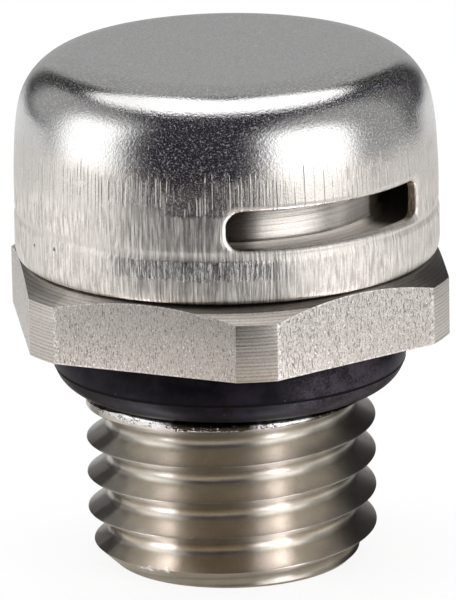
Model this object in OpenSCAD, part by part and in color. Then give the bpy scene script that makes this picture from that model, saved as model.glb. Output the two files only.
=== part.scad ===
// Vent plug: a turned body with a screw shank and a hexagon, a thin drawn cap with air slots in its
// side, an O-ring under the hexagon, and a membrane clamped in the collar that the cap hides.
// The plug stands on the end of its shank, its axis is Z, and one corner of the hexagon faces -Y.
// The fine thread itself isn't cut here: the shank has the thread's outer diameter.

/* [Screw shank] */
// Outer diameter of the thread
thread_d = 11.85; // [11.2:0.05:12.6]
// Length from the end of the shank to the underside of the hexagon
shank_len = 10; // [8:0.5:16]
// Height of the chamfer at the shank's end
end_chamfer_h = 0.95; // [0.3:0.05:1.2]
// How far that chamfer goes in across the radius
end_chamfer_w = 1; // [0.2:0.05:1.1]
// Height of the chamfer where the thread runs out into the relief
runout_h = 0.4; // [0.2:0.05:0.8]
// Diameter of the turned relief under the hexagon, where the O-ring sits
relief_d = 9.2; // [8.8:0.05:9.6]
// Free width of the relief between the O-ring and the thread
relief_spare = 0.1; // [0.05:0.05:0.6]

/* [O-ring] */
// Diameter of the O-ring's round section
ring_section = 2.6; // [1.8:0.1:2.8]
// Clearance of the O-ring to the relief and to the hexagon
ring_fit = 0.02; // [0.01:0.01:0.1]

/* [Hexagon] */
// Width across the flats
hex_af = 17; // [16.8:0.1:19]
// Height of the hexagon with its chamfer
hex_h = 3.1; // [2.6:0.1:5]
// How much is turned off each corner, across the radius
corner_trim = 0.44; // [0.2:0.02:0.7]
// Angle of the chamfer on the upper side
hex_chamfer_angle = 30; // [15:1:35]

/* [Cap seat] */
// Height of the neck between the hexagon and the flange
neck_h = 0.5; // [0.4:0.05:0.9]
// How far the neck is turned in behind the flange, across the radius
neck_depth = 0.4; // [0.3:0.02:0.6]
// Width of the flat that is left around the neck on top of the hexagon
neck_ledge = 0.3; // [0.1:0.05:0.4]
// Height of the flange that the cap grips
flange_h = 1.1; // [0.9:0.05:1.3]
// Chamfer on both edges of the flange
flange_chamfer = 0.12; // [0.05:0.01:0.2]
// Clearance between the cap and the flange
cap_fit = 0.02; // [0.01:0.01:0.08]

/* [Collar and vent] */
// Outer diameter of the collar inside the cap
collar_d = 12.5; // [11.8:0.1:13.2]
// Height of the collar above the flange
collar_h = 3.7; // [3.2:0.1:4.6]
// Radius of the fillet at the collar's foot
collar_fillet = 0.4; // [0.2:0.05:0.6]
// Chamfer at the collar's upper edge
collar_chamfer = 0.3; // [0.1:0.05:0.5]
// Diameter of the vent passage through the plug
bore_d = 6.5; // [5:0.1:6.9]
// Chamfer at the mouth of the vent passage
bore_chamfer = 0.3; // [0.1:0.05:0.5]
// Diameter of the counterbore that takes the membrane
seat_d = 9.8; // [9:0.1:10.6]
// Height by which the collar stands above the retaining ring
ring_recess = 0.3; // [0.1:0.05:0.8]

/* [Membrane pack] */
// Thickness of the flat seal under the membrane
seal_t = 0.4; // [0.2:0.05:0.6]
// Thickness of the membrane
membrane_t = 0.3; // [0.15:0.05:0.4]
// Height of the retaining ring
retainer_h = 1.2; // [0.8:0.1:1.4]
// Inner diameter of the retaining ring and of the flat seal
retainer_bore_d = 7.4; // [7:0.1:8]
// Chamfer on the upper inner edge of the retaining ring
retainer_chamfer = 0.25; // [0.1:0.05:0.4]
// Side clearance of the seal and the membrane in the counterbore
membrane_fit = 0.1; // [0.05:0.05:0.3]
// Side clearance of the pressed retaining ring
retainer_fit = 0.01; // [0.01:0.01:0.03]

/* [Cap] */
// How far the gripping band at the cap's foot stands out past the flats of the hexagon
cap_overhang = 0.14; // [-0.3:0.02:0.5]
// Height of the cap
cap_h = 8.3; // [8:0.02:10]
// Thickness of the sheet
cap_wall = 0.45; // [0.3:0.05:0.6]
// Outer radius of the rounded edge between side and top
cap_corner_r = 2.6; // [2:0.1:3.2]
// How much narrower the side is at that edge than at the band, across the radius
cap_draft = 0.22; // [0.1:0.02:0.4]
// Height of the gap between the cap's rim and the hexagon's chamfer under it
rim_gap = 0.12; // [0.06:0.01:0.2]
// Height of the gripping band
band_h = 1.78; // [1.7:0.02:1.9]
// Height over which the rim is curled in
curl_h = 0.55; // [0.4:0.05:0.6]
// How far the rim is curled in
curl_w = 0.14; // [0.06:0.02:0.2]
// Depth of the pressed waist above the band
waist_w = 0.06; // [0.04:0.01:0.14]
// Height of the pressed waist
waist_h = 0.36; // [0.3:0.02:0.5]

/* [Air slots] */
// Number of air slots
slot_count = 2; // [1:1:3]
// Height of an air slot
slot_h = 1.6; // [1:0.1:2]
// Angle that an air slot spans
slot_span = 64; // [30:1:80]
// Corner radius of an air slot
slot_corner_r = 0.5; // [0.2:0.05:0.5]
// Height of the strip between the waist and an air slot
slot_margin = 0.02; // [0.02:0.02:0.6]
// Turn of the first slot's middle from the middle of the hexagon's flat
slot_turn = -5.4; // [-30:0.1:30]

/* [Hidden] */
$fn = 96;
steel = [0.72, 0.70, 0.67];
drawn_steel = [0.78, 0.77, 0.75];
rubber = [0.09, 0.09, 0.11];
seal_rubber = [0.16, 0.16, 0.17];
membrane_white = [0.93, 0.93, 0.91];
cut = 1;                       // how far a cutting shape runs past what it cuts
flat_azimuth = -60;            // middle of the flat to the right of the front corner

thread_r = thread_d / 2;
relief_r = relief_d / 2;
thread_top = shank_len - ring_fit - ring_section - relief_spare;
ring_r = relief_r + ring_fit + ring_section / 2;
ring_z = shank_len - ring_fit - ring_section / 2;

band_r = hex_af / 2 + cap_overhang;
flange_r = band_r - cap_wall - cap_fit;
neck_r = flange_r - neck_depth;
hex_face_r = neck_r + neck_ledge;
hex_top = shank_len + hex_h;
corner_r = hex_af / 2 / cos(30) - corner_trim;
hex_chamfer_h = (corner_r - hex_face_r) * tan(hex_chamfer_angle);
flange_z = hex_top + neck_h;
flange_top = flange_z + flange_h;
collar_r = collar_d / 2;
collar_top = flange_top + collar_h;

retainer_z = collar_top - ring_recess - retainer_h;
membrane_z = retainer_z - membrane_t;
seal_z = membrane_z - seal_t;
pack_r = seat_d / 2 - membrane_fit;

rim_r = band_r - curl_w;
rim_z = hex_top + rim_gap - (rim_r - hex_face_r) * tan(hex_chamfer_angle);
cap_top = rim_z + cap_h;
band_z = rim_z + band_h;
waist_z = band_z + waist_h / 2;
side_z = band_z + waist_h;
side_r = band_r - waist_w / 2;
waist_r = band_r - waist_w;
cap_centre_r = band_r - cap_draft - cap_corner_r;
cap_centre_z = cap_top - cap_corner_r;
draft_angle = atan((side_r - cap_centre_r - cap_corner_r) / (cap_centre_z - side_z));
slot_z = side_z + slot_margin;
slot_corner_angle = asin(slot_corner_r / (side_r - cap_wall / 2));

// Half section of the shank up to the hexagon's underside
module shank_section() {
    polygon([
        [0, 0],
        [thread_r - end_chamfer_w, 0],
        [thread_r, end_chamfer_h],
        [thread_r, thread_top - runout_h],
        [thread_r - runout_h, thread_top],
        [relief_r, thread_top],
        [relief_r, shank_len + cut],
        [0, shank_len + cut]
    ]);
}

// Half section that turns the corners and the upper chamfer of the hexagon
module hexagon_section() {
    polygon([
        [0, shank_len],
        [corner_r, shank_len],
        [corner_r, hex_top - hex_chamfer_h],
        [hex_face_r, hex_top],
        [0, hex_top]
    ]);
}

// Half section of the neck, the gripped flange and the collar
module crown_section() {
    polygon([
        [0, hex_top - cut],
        [neck_r, hex_top - cut],
        [neck_r, flange_z],
        [flange_r - flange_chamfer, flange_z],
        [flange_r, flange_z + flange_chamfer],
        [flange_r, flange_top - flange_chamfer],
        [flange_r - flange_chamfer, flange_top],
        [collar_r, flange_top],
        [collar_r, collar_top - collar_chamfer],
        [collar_r - collar_chamfer, collar_top],
        [0, collar_top]
    ]);
    difference() {
        translate([collar_r, flange_top]) square(collar_fillet);
        translate([collar_r + collar_fillet, flange_top + collar_fillet]) circle(collar_fillet);
    }
}

// Cutting cone for a chamfer at a hole's mouth, from the height cut below that mouth
module countersink(hole_d, width) {
    cylinder(d1 = hole_d + 2 * (width + cut), d2 = hole_d, h = width + cut);
}

// Turned body: shank, hexagon, flange, collar and the passage through them
module body() {
    color(steel) difference() {
        union() {
            rotate_extrude() shank_section();
            intersection() {
                translate([0, 0, shank_len]) rotate(30) {
                    cylinder(d = hex_af / cos(30), h = hex_h, $fn = 6);
                }
                rotate_extrude() hexagon_section();
            }
            rotate_extrude() crown_section();
        }
        translate([0, 0, -cut]) cylinder(d = bore_d, h = collar_top + 2 * cut);
        translate([0, 0, -cut]) countersink(bore_d, bore_chamfer);
        translate([0, 0, seal_z]) cylinder(d = seat_d, h = collar_top - seal_z + cut);
    }
}

// Half outline of the cap, moved inwards by inset and run down to the height foot at its rim. Its
// underside slopes as the hexagon's chamfer does.
module cap_outline(inset, foot) {
    turned_in = cap_corner_r - inset;
    foot_r = rim_r - inset;
    polygon([
        [0, foot + foot_r * tan(hex_chamfer_angle)],
        [foot_r, foot],
        [foot_r, rim_z],
        [band_r - curl_w / 4 - inset, rim_z + curl_h / 2],
        [band_r - inset, rim_z + curl_h],
        [band_r - inset, band_z],
        [waist_r - inset, waist_z],
        [side_r - inset, side_z],
        [cap_centre_r + turned_in * cos(draft_angle), cap_centre_z + turned_in * sin(draft_angle)],
        [cap_centre_r, cap_centre_z + turned_in],
        [0, cap_centre_z + turned_in]
    ]);
    translate([cap_centre_r, cap_centre_z]) circle(turned_in);
}

// End of an air slot, seen from outside, with its two rounded corners towards -X
module slot_end_section() {
    for (height = [slot_corner_r, slot_h - slot_corner_r]) {
        translate([0, height]) circle(slot_corner_r);
    }
    translate([-slot_corner_r, slot_corner_r]) square([2 * slot_corner_r, slot_h - 2 * slot_corner_r]);
    square([slot_corner_r, slot_h]);
}

// Cutting shape of one air slot, on both sides of the azimuth 0
module slot_cutter() {
    inner = collar_r + collar_fillet;
    depth = band_r + cut - inner;
    straight_span = slot_span - 2 * slot_corner_angle;
    translate([0, 0, slot_z]) {
        rotate(-straight_span / 2) rotate_extrude(angle = straight_span) {
            translate([inner, 0]) square([depth, slot_h]);
        }
        for (side = [0, 1]) {
            mirror([0, side, 0]) rotate(-straight_span / 2) translate([inner, 0, 0]) rotate([90, 0, 90]) {
                linear_extrude(depth) slot_end_section();
            }
        }
    }
}

// Drawn cap with its rounded edge, gripping band and air slots
module cap() {
    color(drawn_steel) difference() {
        rotate_extrude() cap_outline(0, rim_z);
        rotate_extrude() cap_outline(cap_wall, rim_z - cut);
        for (i = [0 : slot_count - 1]) {
            rotate(flat_azimuth + slot_turn + i * 360 / slot_count) slot_cutter();
        }
    }
}

// O-ring in the relief under the hexagon
module o_ring() {
    color(rubber) rotate_extrude() translate([ring_r, ring_z]) circle(d = ring_section);
}

// Flat rubber ring on the seat in the counterbore
module membrane_seal() {
    color(seal_rubber) translate([0, 0, seal_z]) difference() {
        cylinder(r = pack_r, h = seal_t);
        translate([0, 0, -cut]) cylinder(d = retainer_bore_d, h = seal_t + 2 * cut);
    }
}

// Thin disc that lets air through and keeps water out
module membrane() {
    color(membrane_white) translate([0, 0, membrane_z]) cylinder(r = pack_r, h = membrane_t);
}

// Pressed ring that clamps the membrane and its seal
module retaining_ring() {
    color(steel) translate([0, 0, retainer_z]) difference() {
        cylinder(d = seat_d - 2 * retainer_fit, h = retainer_h);
        translate([0, 0, -cut]) cylinder(d = retainer_bore_d, h = retainer_h + 2 * cut);
        translate([0, 0, retainer_h + cut]) rotate([180, 0, 0]) {
            countersink(retainer_bore_d, retainer_chamfer);
        }
    }
}

body();
cap();
o_ring();
membrane_seal();
membrane();
retaining_ring();
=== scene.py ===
"""Vent plug: a stainless screw plug with a slotted drawn cap, an O-ring and a clamped membrane."""
import logging
import math
from dataclasses import dataclass
from enum import Enum, IntEnum
from typing import Callable, Iterable, Sequence

import bmesh
import bpy
from mathutils import Matrix, Vector


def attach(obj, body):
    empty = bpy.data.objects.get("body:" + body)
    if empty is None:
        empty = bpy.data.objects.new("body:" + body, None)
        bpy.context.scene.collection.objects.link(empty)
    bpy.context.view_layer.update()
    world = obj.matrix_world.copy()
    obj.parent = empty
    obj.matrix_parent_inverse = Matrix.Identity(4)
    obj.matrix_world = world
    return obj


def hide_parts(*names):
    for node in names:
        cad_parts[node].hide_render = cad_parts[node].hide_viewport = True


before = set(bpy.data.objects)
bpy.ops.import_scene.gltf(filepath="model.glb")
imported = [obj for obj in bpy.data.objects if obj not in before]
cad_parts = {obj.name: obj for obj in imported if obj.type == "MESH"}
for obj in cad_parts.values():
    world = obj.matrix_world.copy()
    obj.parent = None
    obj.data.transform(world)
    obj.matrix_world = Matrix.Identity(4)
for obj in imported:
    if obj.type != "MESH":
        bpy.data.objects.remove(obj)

log = logging.getLogger("vent_plug")

MM = 0.001
ROOT_BODY = "root"

# A ring is a radius and a height on a half section. A span is any other two numbers that go together.
# A sector lies round the axis: its middle, its half width and the width over which it fades, in degrees.
Ring = tuple[float, float]
Span = tuple[float, float]
Sector = tuple[float, float, float]
Socket = bpy.types.NodeSocket
Value = Socket | float
Colour = tuple[float, float, float, float]


class Side(Enum):
    """Which way a mask rises."""

    ABOVE = "above"
    BELOW = "below"


class BodyFace(IntEnum):
    """The body's finishes, numbered as its material slots are."""

    TURNED = 0
    BAR = 1
    THREAD = 2
    FACED = 3
    RIBBED = 4
    LEDGE = 5


# Mesh work


def deselect_all() -> None:
    """Leaves nothing selected and nothing in edit mode."""
    if bpy.context.mode != "OBJECT":
        bpy.ops.object.mode_set(mode="OBJECT")
    bpy.ops.object.select_all(action="DESELECT")


def pick(piece: bpy.types.Object) -> None:
    """Selects one piece alone and makes it the active one.

    Args:
        piece: The object to work on.
    """
    deselect_all()
    piece.select_set(True)
    bpy.context.view_layer.objects.active = piece


def choose_points(piece: bpy.types.Object, wanted: Callable[[Vector], bool]) -> None:
    """Selects the points that pass a test, in edit mode, and no others.

    Args:
        piece: The piece in edit mode.
        wanted: The test, which is given a point's place.
    """
    bpy.ops.mesh.select_mode(type="VERT")
    bpy.ops.mesh.select_all(action="DESELECT")
    sheet = bmesh.from_edit_mesh(piece.data)
    for vertex in sheet.verts:
        vertex.select_set(wanted(vertex.co))
    bmesh.update_edit_mesh(piece.data)


def choose_open_edges() -> None:
    """Selects the open edges of the piece in edit mode, and no others."""
    bpy.ops.mesh.select_mode(type="EDGE")
    bpy.ops.mesh.select_all(action="DESELECT")
    bpy.ops.mesh.select_non_manifold()


def arc(centre: Ring, radius: float, start: float, end: float, steps: int) -> list[Ring]:
    """Points on an arc of a half section.

    Args:
        centre: Radius and height of the arc's centre, in mm.
        radius: The arc's radius in mm.
        start: Angle of the first point in degrees, where 0 points away from the axis and 90 up.
        end: Angle of the last point in degrees.
        steps: Number of stretches between the points.

    Returns:
        The points, first and last included.
    """
    angles = [math.radians(start + (end - start) * i / steps) for i in range(steps + 1)]
    return [(centre[0] + radius * math.cos(a), centre[1] + radius * math.sin(a)) for a in angles]


def turn_solid(name: str, rings: Sequence[Ring], steps: int, ring_shaped: bool) -> bpy.types.Object:
    """Turns a half section into a closed solid, by extruding and scaling a circle ring by ring.

    Args:
        name: Name of the new piece.
        rings: Radius and height of each ring in mm, in order along the section.
        steps: Number of points round each ring.
        ring_shaped: True if the section closes on itself, so the last ring meets the first.

    Returns:
        The piece, still in mm.
    """
    deselect_all()
    radius, height = rings[0]
    bpy.ops.mesh.primitive_circle_add(
        vertices=steps,
        radius=radius,
        fill_type="NOTHING" if ring_shaped else "NGON",
        location=(0, 0, height),
    )
    piece = bpy.context.active_object
    piece.name = name
    bpy.ops.object.transform_apply(location=True, rotation=False, scale=False)
    bpy.ops.object.mode_set(mode="EDIT")
    bpy.ops.mesh.select_all(action="SELECT")
    for next_radius, next_height in rings[1:]:
        bpy.ops.mesh.extrude_region_move(
            TRANSFORM_OT_translate={"value": (0, 0, next_height - height)}
        )
        if not math.isclose(next_radius, radius):
            ratio = next_radius / radius
            bpy.ops.transform.resize(value=(ratio, ratio, 1), center_override=(0, 0, 0))
        radius, height = next_radius, next_height
    if ring_shaped:
        choose_open_edges()
        bpy.ops.mesh.bridge_edge_loops()
    bpy.ops.mesh.select_all(action="SELECT")
    bpy.ops.mesh.normals_make_consistent(inside=False)
    bpy.ops.object.mode_set(mode="OBJECT")
    return piece


def cut_with(piece: bpy.types.Object, tool: bpy.types.Object) -> None:
    """Takes a tool's shape away from a piece and throws the tool away.

    Args:
        piece: The piece that is cut.
        tool: A closed shape, in the same units as the piece.
    """
    pick(piece)
    cut = piece.modifiers.new("cut", "BOOLEAN")
    cut.operation = "DIFFERENCE"
    cut.solver = "EXACT"
    cut.object = tool
    bpy.ops.object.modifier_apply(modifier=cut.name)
    bpy.data.objects.remove(tool, do_unlink=True)


def soften_edges(piece: bpy.types.Object, width: float, angle: float, segments: int = 2) -> None:
    """Rounds every edge that is sharper than an angle.

    Args:
        piece: The piece to work on.
        width: Width of the rounding in mm.
        angle: Edges sharper than this many degrees are rounded.
        segments: Number of faces across the rounding.
    """
    pick(piece)
    bevel = piece.modifiers.new("soften", "BEVEL")
    bevel.width = width
    bevel.segments = segments
    bevel.limit_method = "ANGLE"
    bevel.angle_limit = math.radians(angle)
    bevel.miter_outer = "MITER_ARC"
    bpy.ops.object.modifier_apply(modifier=bevel.name)


def finish_piece(piece: bpy.types.Object, smooth_angle: float = 32.0) -> None:
    """Cleans a piece's mesh, shades it and brings it from mm to the frame's metres.

    Args:
        piece: The piece to finish.
        smooth_angle: Edges flatter than this many degrees are shaded smooth.
    """
    pick(piece)
    bpy.ops.object.mode_set(mode="EDIT")
    bpy.ops.mesh.select_all(action="SELECT")
    bpy.ops.mesh.remove_doubles(threshold=0.0005)
    bpy.ops.mesh.dissolve_degenerate(threshold=0.0002)
    bpy.ops.mesh.normals_make_consistent(inside=False)
    bpy.ops.object.mode_set(mode="OBJECT")
    piece.scale = (MM, MM, MM)
    bpy.ops.object.transform_apply(location=True, rotation=True, scale=True)
    bpy.ops.object.shade_smooth_by_angle(angle=math.radians(smooth_angle))


def hand_over(piece: bpy.types.Object, node: str) -> None:
    """Puts a finished piece in the place of its CAD node.

    Args:
        piece: The finished piece.
        node: Name of the CAD node that it stands for.
    """
    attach(piece, ROOT_BODY)
    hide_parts(node)


# Material work


class Board:
    """The node board of one material, with coordinates in mm."""

    def __init__(self, name: str) -> None:
        """Starts an empty board with a Principled shader.

        Args:
            name: Name of the material.
        """
        self.material = bpy.data.materials.new(name)
        self.material.use_nodes = True
        self.nodes = self.material.node_tree.nodes
        self.links = self.material.node_tree.links
        self.nodes.clear()
        self.shader = self.nodes.new("ShaderNodeBsdfPrincipled")
        self.output = self.nodes.new("ShaderNodeOutputMaterial")
        self.links.new(self.shader.outputs["BSDF"], self.output.inputs["Surface"])
        place = self.nodes.new("ShaderNodeTexCoord")
        in_mm = self.nodes.new("ShaderNodeMapping")
        in_mm.inputs["Scale"].default_value = (1 / MM, 1 / MM, 1 / MM)
        self.links.new(place.outputs["Object"], in_mm.inputs["Vector"])
        self.place = in_mm.outputs["Vector"]
        split = self.nodes.new("ShaderNodeSeparateXYZ")
        self.links.new(self.place, split.inputs["Vector"])
        self.x, self.y, self.z = (split.outputs[axis] for axis in "XYZ")
        self.radius = self.maths(
            "SQRT",
            self.maths("ADD", self.maths("MULTIPLY", self.x, self.x), self.maths("MULTIPLY", self.y, self.y)),
        )

    def feed(self, socket: Socket, value: Value | Colour) -> None:
        """Wires a socket, or sets its value.

        Args:
            socket: The input to feed.
            value: An output to wire in, or a constant.
        """
        if isinstance(value, bpy.types.NodeSocket):
            self.links.new(value, socket)
        else:
            socket.default_value = value

    def maths(self, operation: str, first: Value, second: Value = 0.0, clamp: bool = False) -> Socket:
        """One step of arithmetic.

        Args:
            operation: Blender's name of the operation.
            first: First operand.
            second: Second operand.
            clamp: True to keep the result between 0 and 1.

        Returns:
            The result's socket.
        """
        node = self.nodes.new("ShaderNodeMath")
        node.operation = operation
        node.use_clamp = clamp
        self.feed(node.inputs[0], first)
        self.feed(node.inputs[1], second)
        return node.outputs[0]

    def plus(self, first: Value, second: Value) -> Socket:
        """Adds two values."""
        return self.maths("ADD", first, second)

    def minus(self, first: Value, second: Value) -> Socket:
        """Takes the second value from the first."""
        return self.maths("SUBTRACT", first, second)

    def most(self, first: Value, second: Value) -> Socket:
        """The larger of two values."""
        return self.maths("MAXIMUM", first, second)

    def vector(self, x: Value, y: Value, z: Value) -> Socket:
        """Joins three values to a vector.

        Args:
            x: First value.
            y: Second value.
            z: Third value.

        Returns:
            The vector's socket.
        """
        node = self.nodes.new("ShaderNodeCombineXYZ")
        for socket, value in zip(node.inputs, (x, y, z)):
            self.feed(socket, value)
        return node.outputs[0]

    def stretched(self, x: float, y: float, z: float) -> Socket:
        """The place in mm, scaled along each axis.

        Args:
            x: Scale along X.
            y: Scale along Y.
            z: Scale along Z.

        Returns:
            The vector's socket.
        """
        return self.vector(
            self.times(self.x, x), self.times(self.y, y), self.times(self.z, z)
        )

    def around(self, turns: float, radial: float, upright: float) -> Socket:
        """A place for turned surfaces: round the axis, out from it and along it, with no seam.

        Args:
            turns: Scale round the axis, in patterns per radian or so.
            radial: Scale out from the axis, per mm.
            upright: Scale along the axis, per mm.

        Returns:
            The vector's socket.
        """
        cosine = self.maths("DIVIDE", self.x, self.most(self.radius, 0.01))
        sine = self.maths("DIVIDE", self.y, self.most(self.radius, 0.01))
        along = self.plus(self.times(self.radius, radial), self.times(self.z, upright))
        return self.vector(self.times(cosine, turns), self.times(sine, turns), along)

    def noise(self, place: Socket, scale: float, detail: float = 2.0, roughness: float = 0.5) -> Socket:
        """A noise between 0 and 1.

        Args:
            place: The vector to read it at.
            scale: Patterns per unit of that vector.
            detail: Number of finer layers.
            roughness: Weight of the finer layers.

        Returns:
            The value's socket.
        """
        node = self.nodes.new("ShaderNodeTexNoise")
        self.feed(node.inputs["Vector"], place)
        node.inputs["Scale"].default_value = scale
        node.inputs["Detail"].default_value = detail
        node.inputs["Roughness"].default_value = roughness
        return node.outputs["Fac"]

    def spots(self, place: Socket, scale: float) -> Socket:
        """Distance to the nearest of many scattered spots.

        Args:
            place: The vector to read it at.
            scale: Spots per unit of that vector.

        Returns:
            The value's socket.
        """
        node = self.nodes.new("ShaderNodeTexVoronoi")
        self.feed(node.inputs["Vector"], place)
        node.inputs["Scale"].default_value = scale
        return node.outputs["Distance"]

    def ease(self, value: Socket, low: float, high: float, side: Side = Side.ABOVE) -> Socket:
        """A mask that rises or falls smoothly between two values.

        Args:
            value: The value to look at.
            low: Where the change begins.
            high: Where it ends.
            side: ABOVE for 1 past high, BELOW for 1 before low.

        Returns:
            The mask's socket.
        """
        node = self.nodes.new("ShaderNodeMapRange")
        node.interpolation_type = "SMOOTHSTEP"
        self.feed(node.inputs["Value"], value)
        node.inputs["From Min"].default_value = low
        node.inputs["From Max"].default_value = high
        node.inputs["To Min"].default_value = 0.0 if side is Side.ABOVE else 1.0
        node.inputs["To Max"].default_value = 1.0 if side is Side.ABOVE else 0.0
        return node.outputs["Result"]

    def blend(self, mask: Value, first: Socket | Colour, second: Socket | Colour) -> Socket:
        """Mixes two colours.

        Args:
            mask: 0 for the first, 1 for the second.
            first: A colour.
            second: Another colour.

        Returns:
            The colour's socket.
        """
        node = self.nodes.new("ShaderNodeMix")
        node.data_type = "RGBA"
        self.feed(node.inputs["Factor"], mask)
        self.feed(node.inputs["A"], first)
        self.feed(node.inputs["B"], second)
        return node.outputs["Result"]

    def between(self, mask: Value, first: Value, second: Value) -> Socket:
        """Mixes two numbers.

        Args:
            mask: 0 for the first, 1 for the second.
            first: A number.
            second: Another number.

        Returns:
            The value's socket.
        """
        node = self.nodes.new("ShaderNodeMix")
        node.data_type = "FLOAT"
        self.feed(node.inputs[0], mask)
        self.feed(node.inputs[2], first)
        self.feed(node.inputs[3], second)
        return node.outputs[0]

    def times(self, *masks: Value) -> Socket:
        """Multiplies masks.

        Args:
            masks: Two or more values.

        Returns:
            The product's socket.
        """
        product = masks[0]
        for mask in masks[1:]:
            product = self.maths("MULTIPLY", product, mask)
        return product

    def off_level(self, height: Socket, level: float) -> Socket:
        """How far a height is from a level, up or down.

        Args:
            height: The height in mm.
            level: The level in mm.

        Returns:
            The distance's socket.
        """
        return self.maths("ABSOLUTE", self.minus(height, level))

    def ragged(self, pattern: Socket, reach: float) -> Socket:
        """The height in mm, shaken by a pattern.

        Args:
            pattern: A pattern between 0 and 1.
            reach: Full reach of the shaking in mm.

        Returns:
            The height's socket.
        """
        return self.plus(self.z, self.times(self.minus(pattern, 0.5), reach))

    def sector(self, middle: float, half: float, soft: float) -> Socket:
        """A mask for one sector round the axis.

        Args:
            middle: Azimuth of its middle in degrees.
            half: Half its span in degrees.
            soft: Width in degrees over which it fades.

        Returns:
            The mask's socket.
        """
        angle = math.radians(middle)
        along = self.maths(
            "ADD", self.times(self.x, math.cos(angle)), self.times(self.y, math.sin(angle))
        )
        facing = self.maths("DIVIDE", along, self.most(self.radius, 0.01))
        return self.ease(facing, math.cos(math.radians(half + soft)), math.cos(math.radians(half)))

    def mark(self, azimuth: float, radius: float, height: float, reach: float, pattern: Socket) -> Socket:
        """A mask for one small ragged mark.

        Args:
            azimuth: Where it is round the axis, in degrees.
            radius: Distance from the axis in mm.
            height: Height in mm.
            reach: Its size from the middle in mm.
            pattern: The pattern that makes its edge ragged.

        Returns:
            The mask's socket.
        """
        node = self.nodes.new("ShaderNodeVectorMath")
        node.operation = "DISTANCE"
        self.links.new(self.place, node.inputs[0])
        angle = math.radians(azimuth)
        node.inputs[1].default_value = (radius * math.cos(angle), radius * math.sin(angle), height)
        shaken = self.plus(node.outputs["Value"], self.times(pattern, reach))
        return self.ease(shaken, 0.85 * reach, 1.35 * reach, Side.BELOW)

    def brushed(self, strength: float, turn: float) -> None:
        """Draws highlights out to one side, as tool lines do.

        Args:
            strength: From 0 for none to 1.
            turn: 0 to draw them out round the axis, 0.25 along it.
        """
        self.put("Anisotropic", strength)
        self.put("Anisotropic Rotation", turn)

    def relief(self, height: Socket, depth: float) -> None:
        """Presses a height pattern into the surface.

        Args:
            height: The pattern, about 0 to 1.
            depth: What 1 stands for, in mm.
        """
        node = self.nodes.new("ShaderNodeBump")
        node.inputs["Strength"].default_value = 1.0
        node.inputs["Distance"].default_value = depth * MM
        self.feed(node.inputs["Height"], height)
        self.links.new(node.outputs["Normal"], self.shader.inputs["Normal"])

    def put(self, name: str, value: Value | Colour) -> None:
        """Wires or sets one of the shader's inputs, given by its name."""
        self.feed(self.shader.inputs[name], value)


def shade(value: float, warmth: float = 0.0) -> Colour:
    """A near-grey colour.

    Args:
        value: How light it is, from 0 to 1.
        warmth: How much red is added and blue taken away.

    Returns:
        The colour with its alpha.
    """
    return (value * (1 + warmth), value, value * (1 - warmth), 1.0)


@dataclass(frozen=True)
class SheetPatterns:
    """The patterns and masks that the drawn sheet's relief, colour and polish share."""

    grain: Socket
    streaks: Socket
    long_streaks: Socket
    score: Socket
    marked: Socket
    skirt: Socket
    scuff: Socket
    front: Socket
    band: Socket
    waist: Socket
    pitted: Socket
    specks: Socket
    speckle: Socket
    inside: Socket
    mouth: Socket


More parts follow.
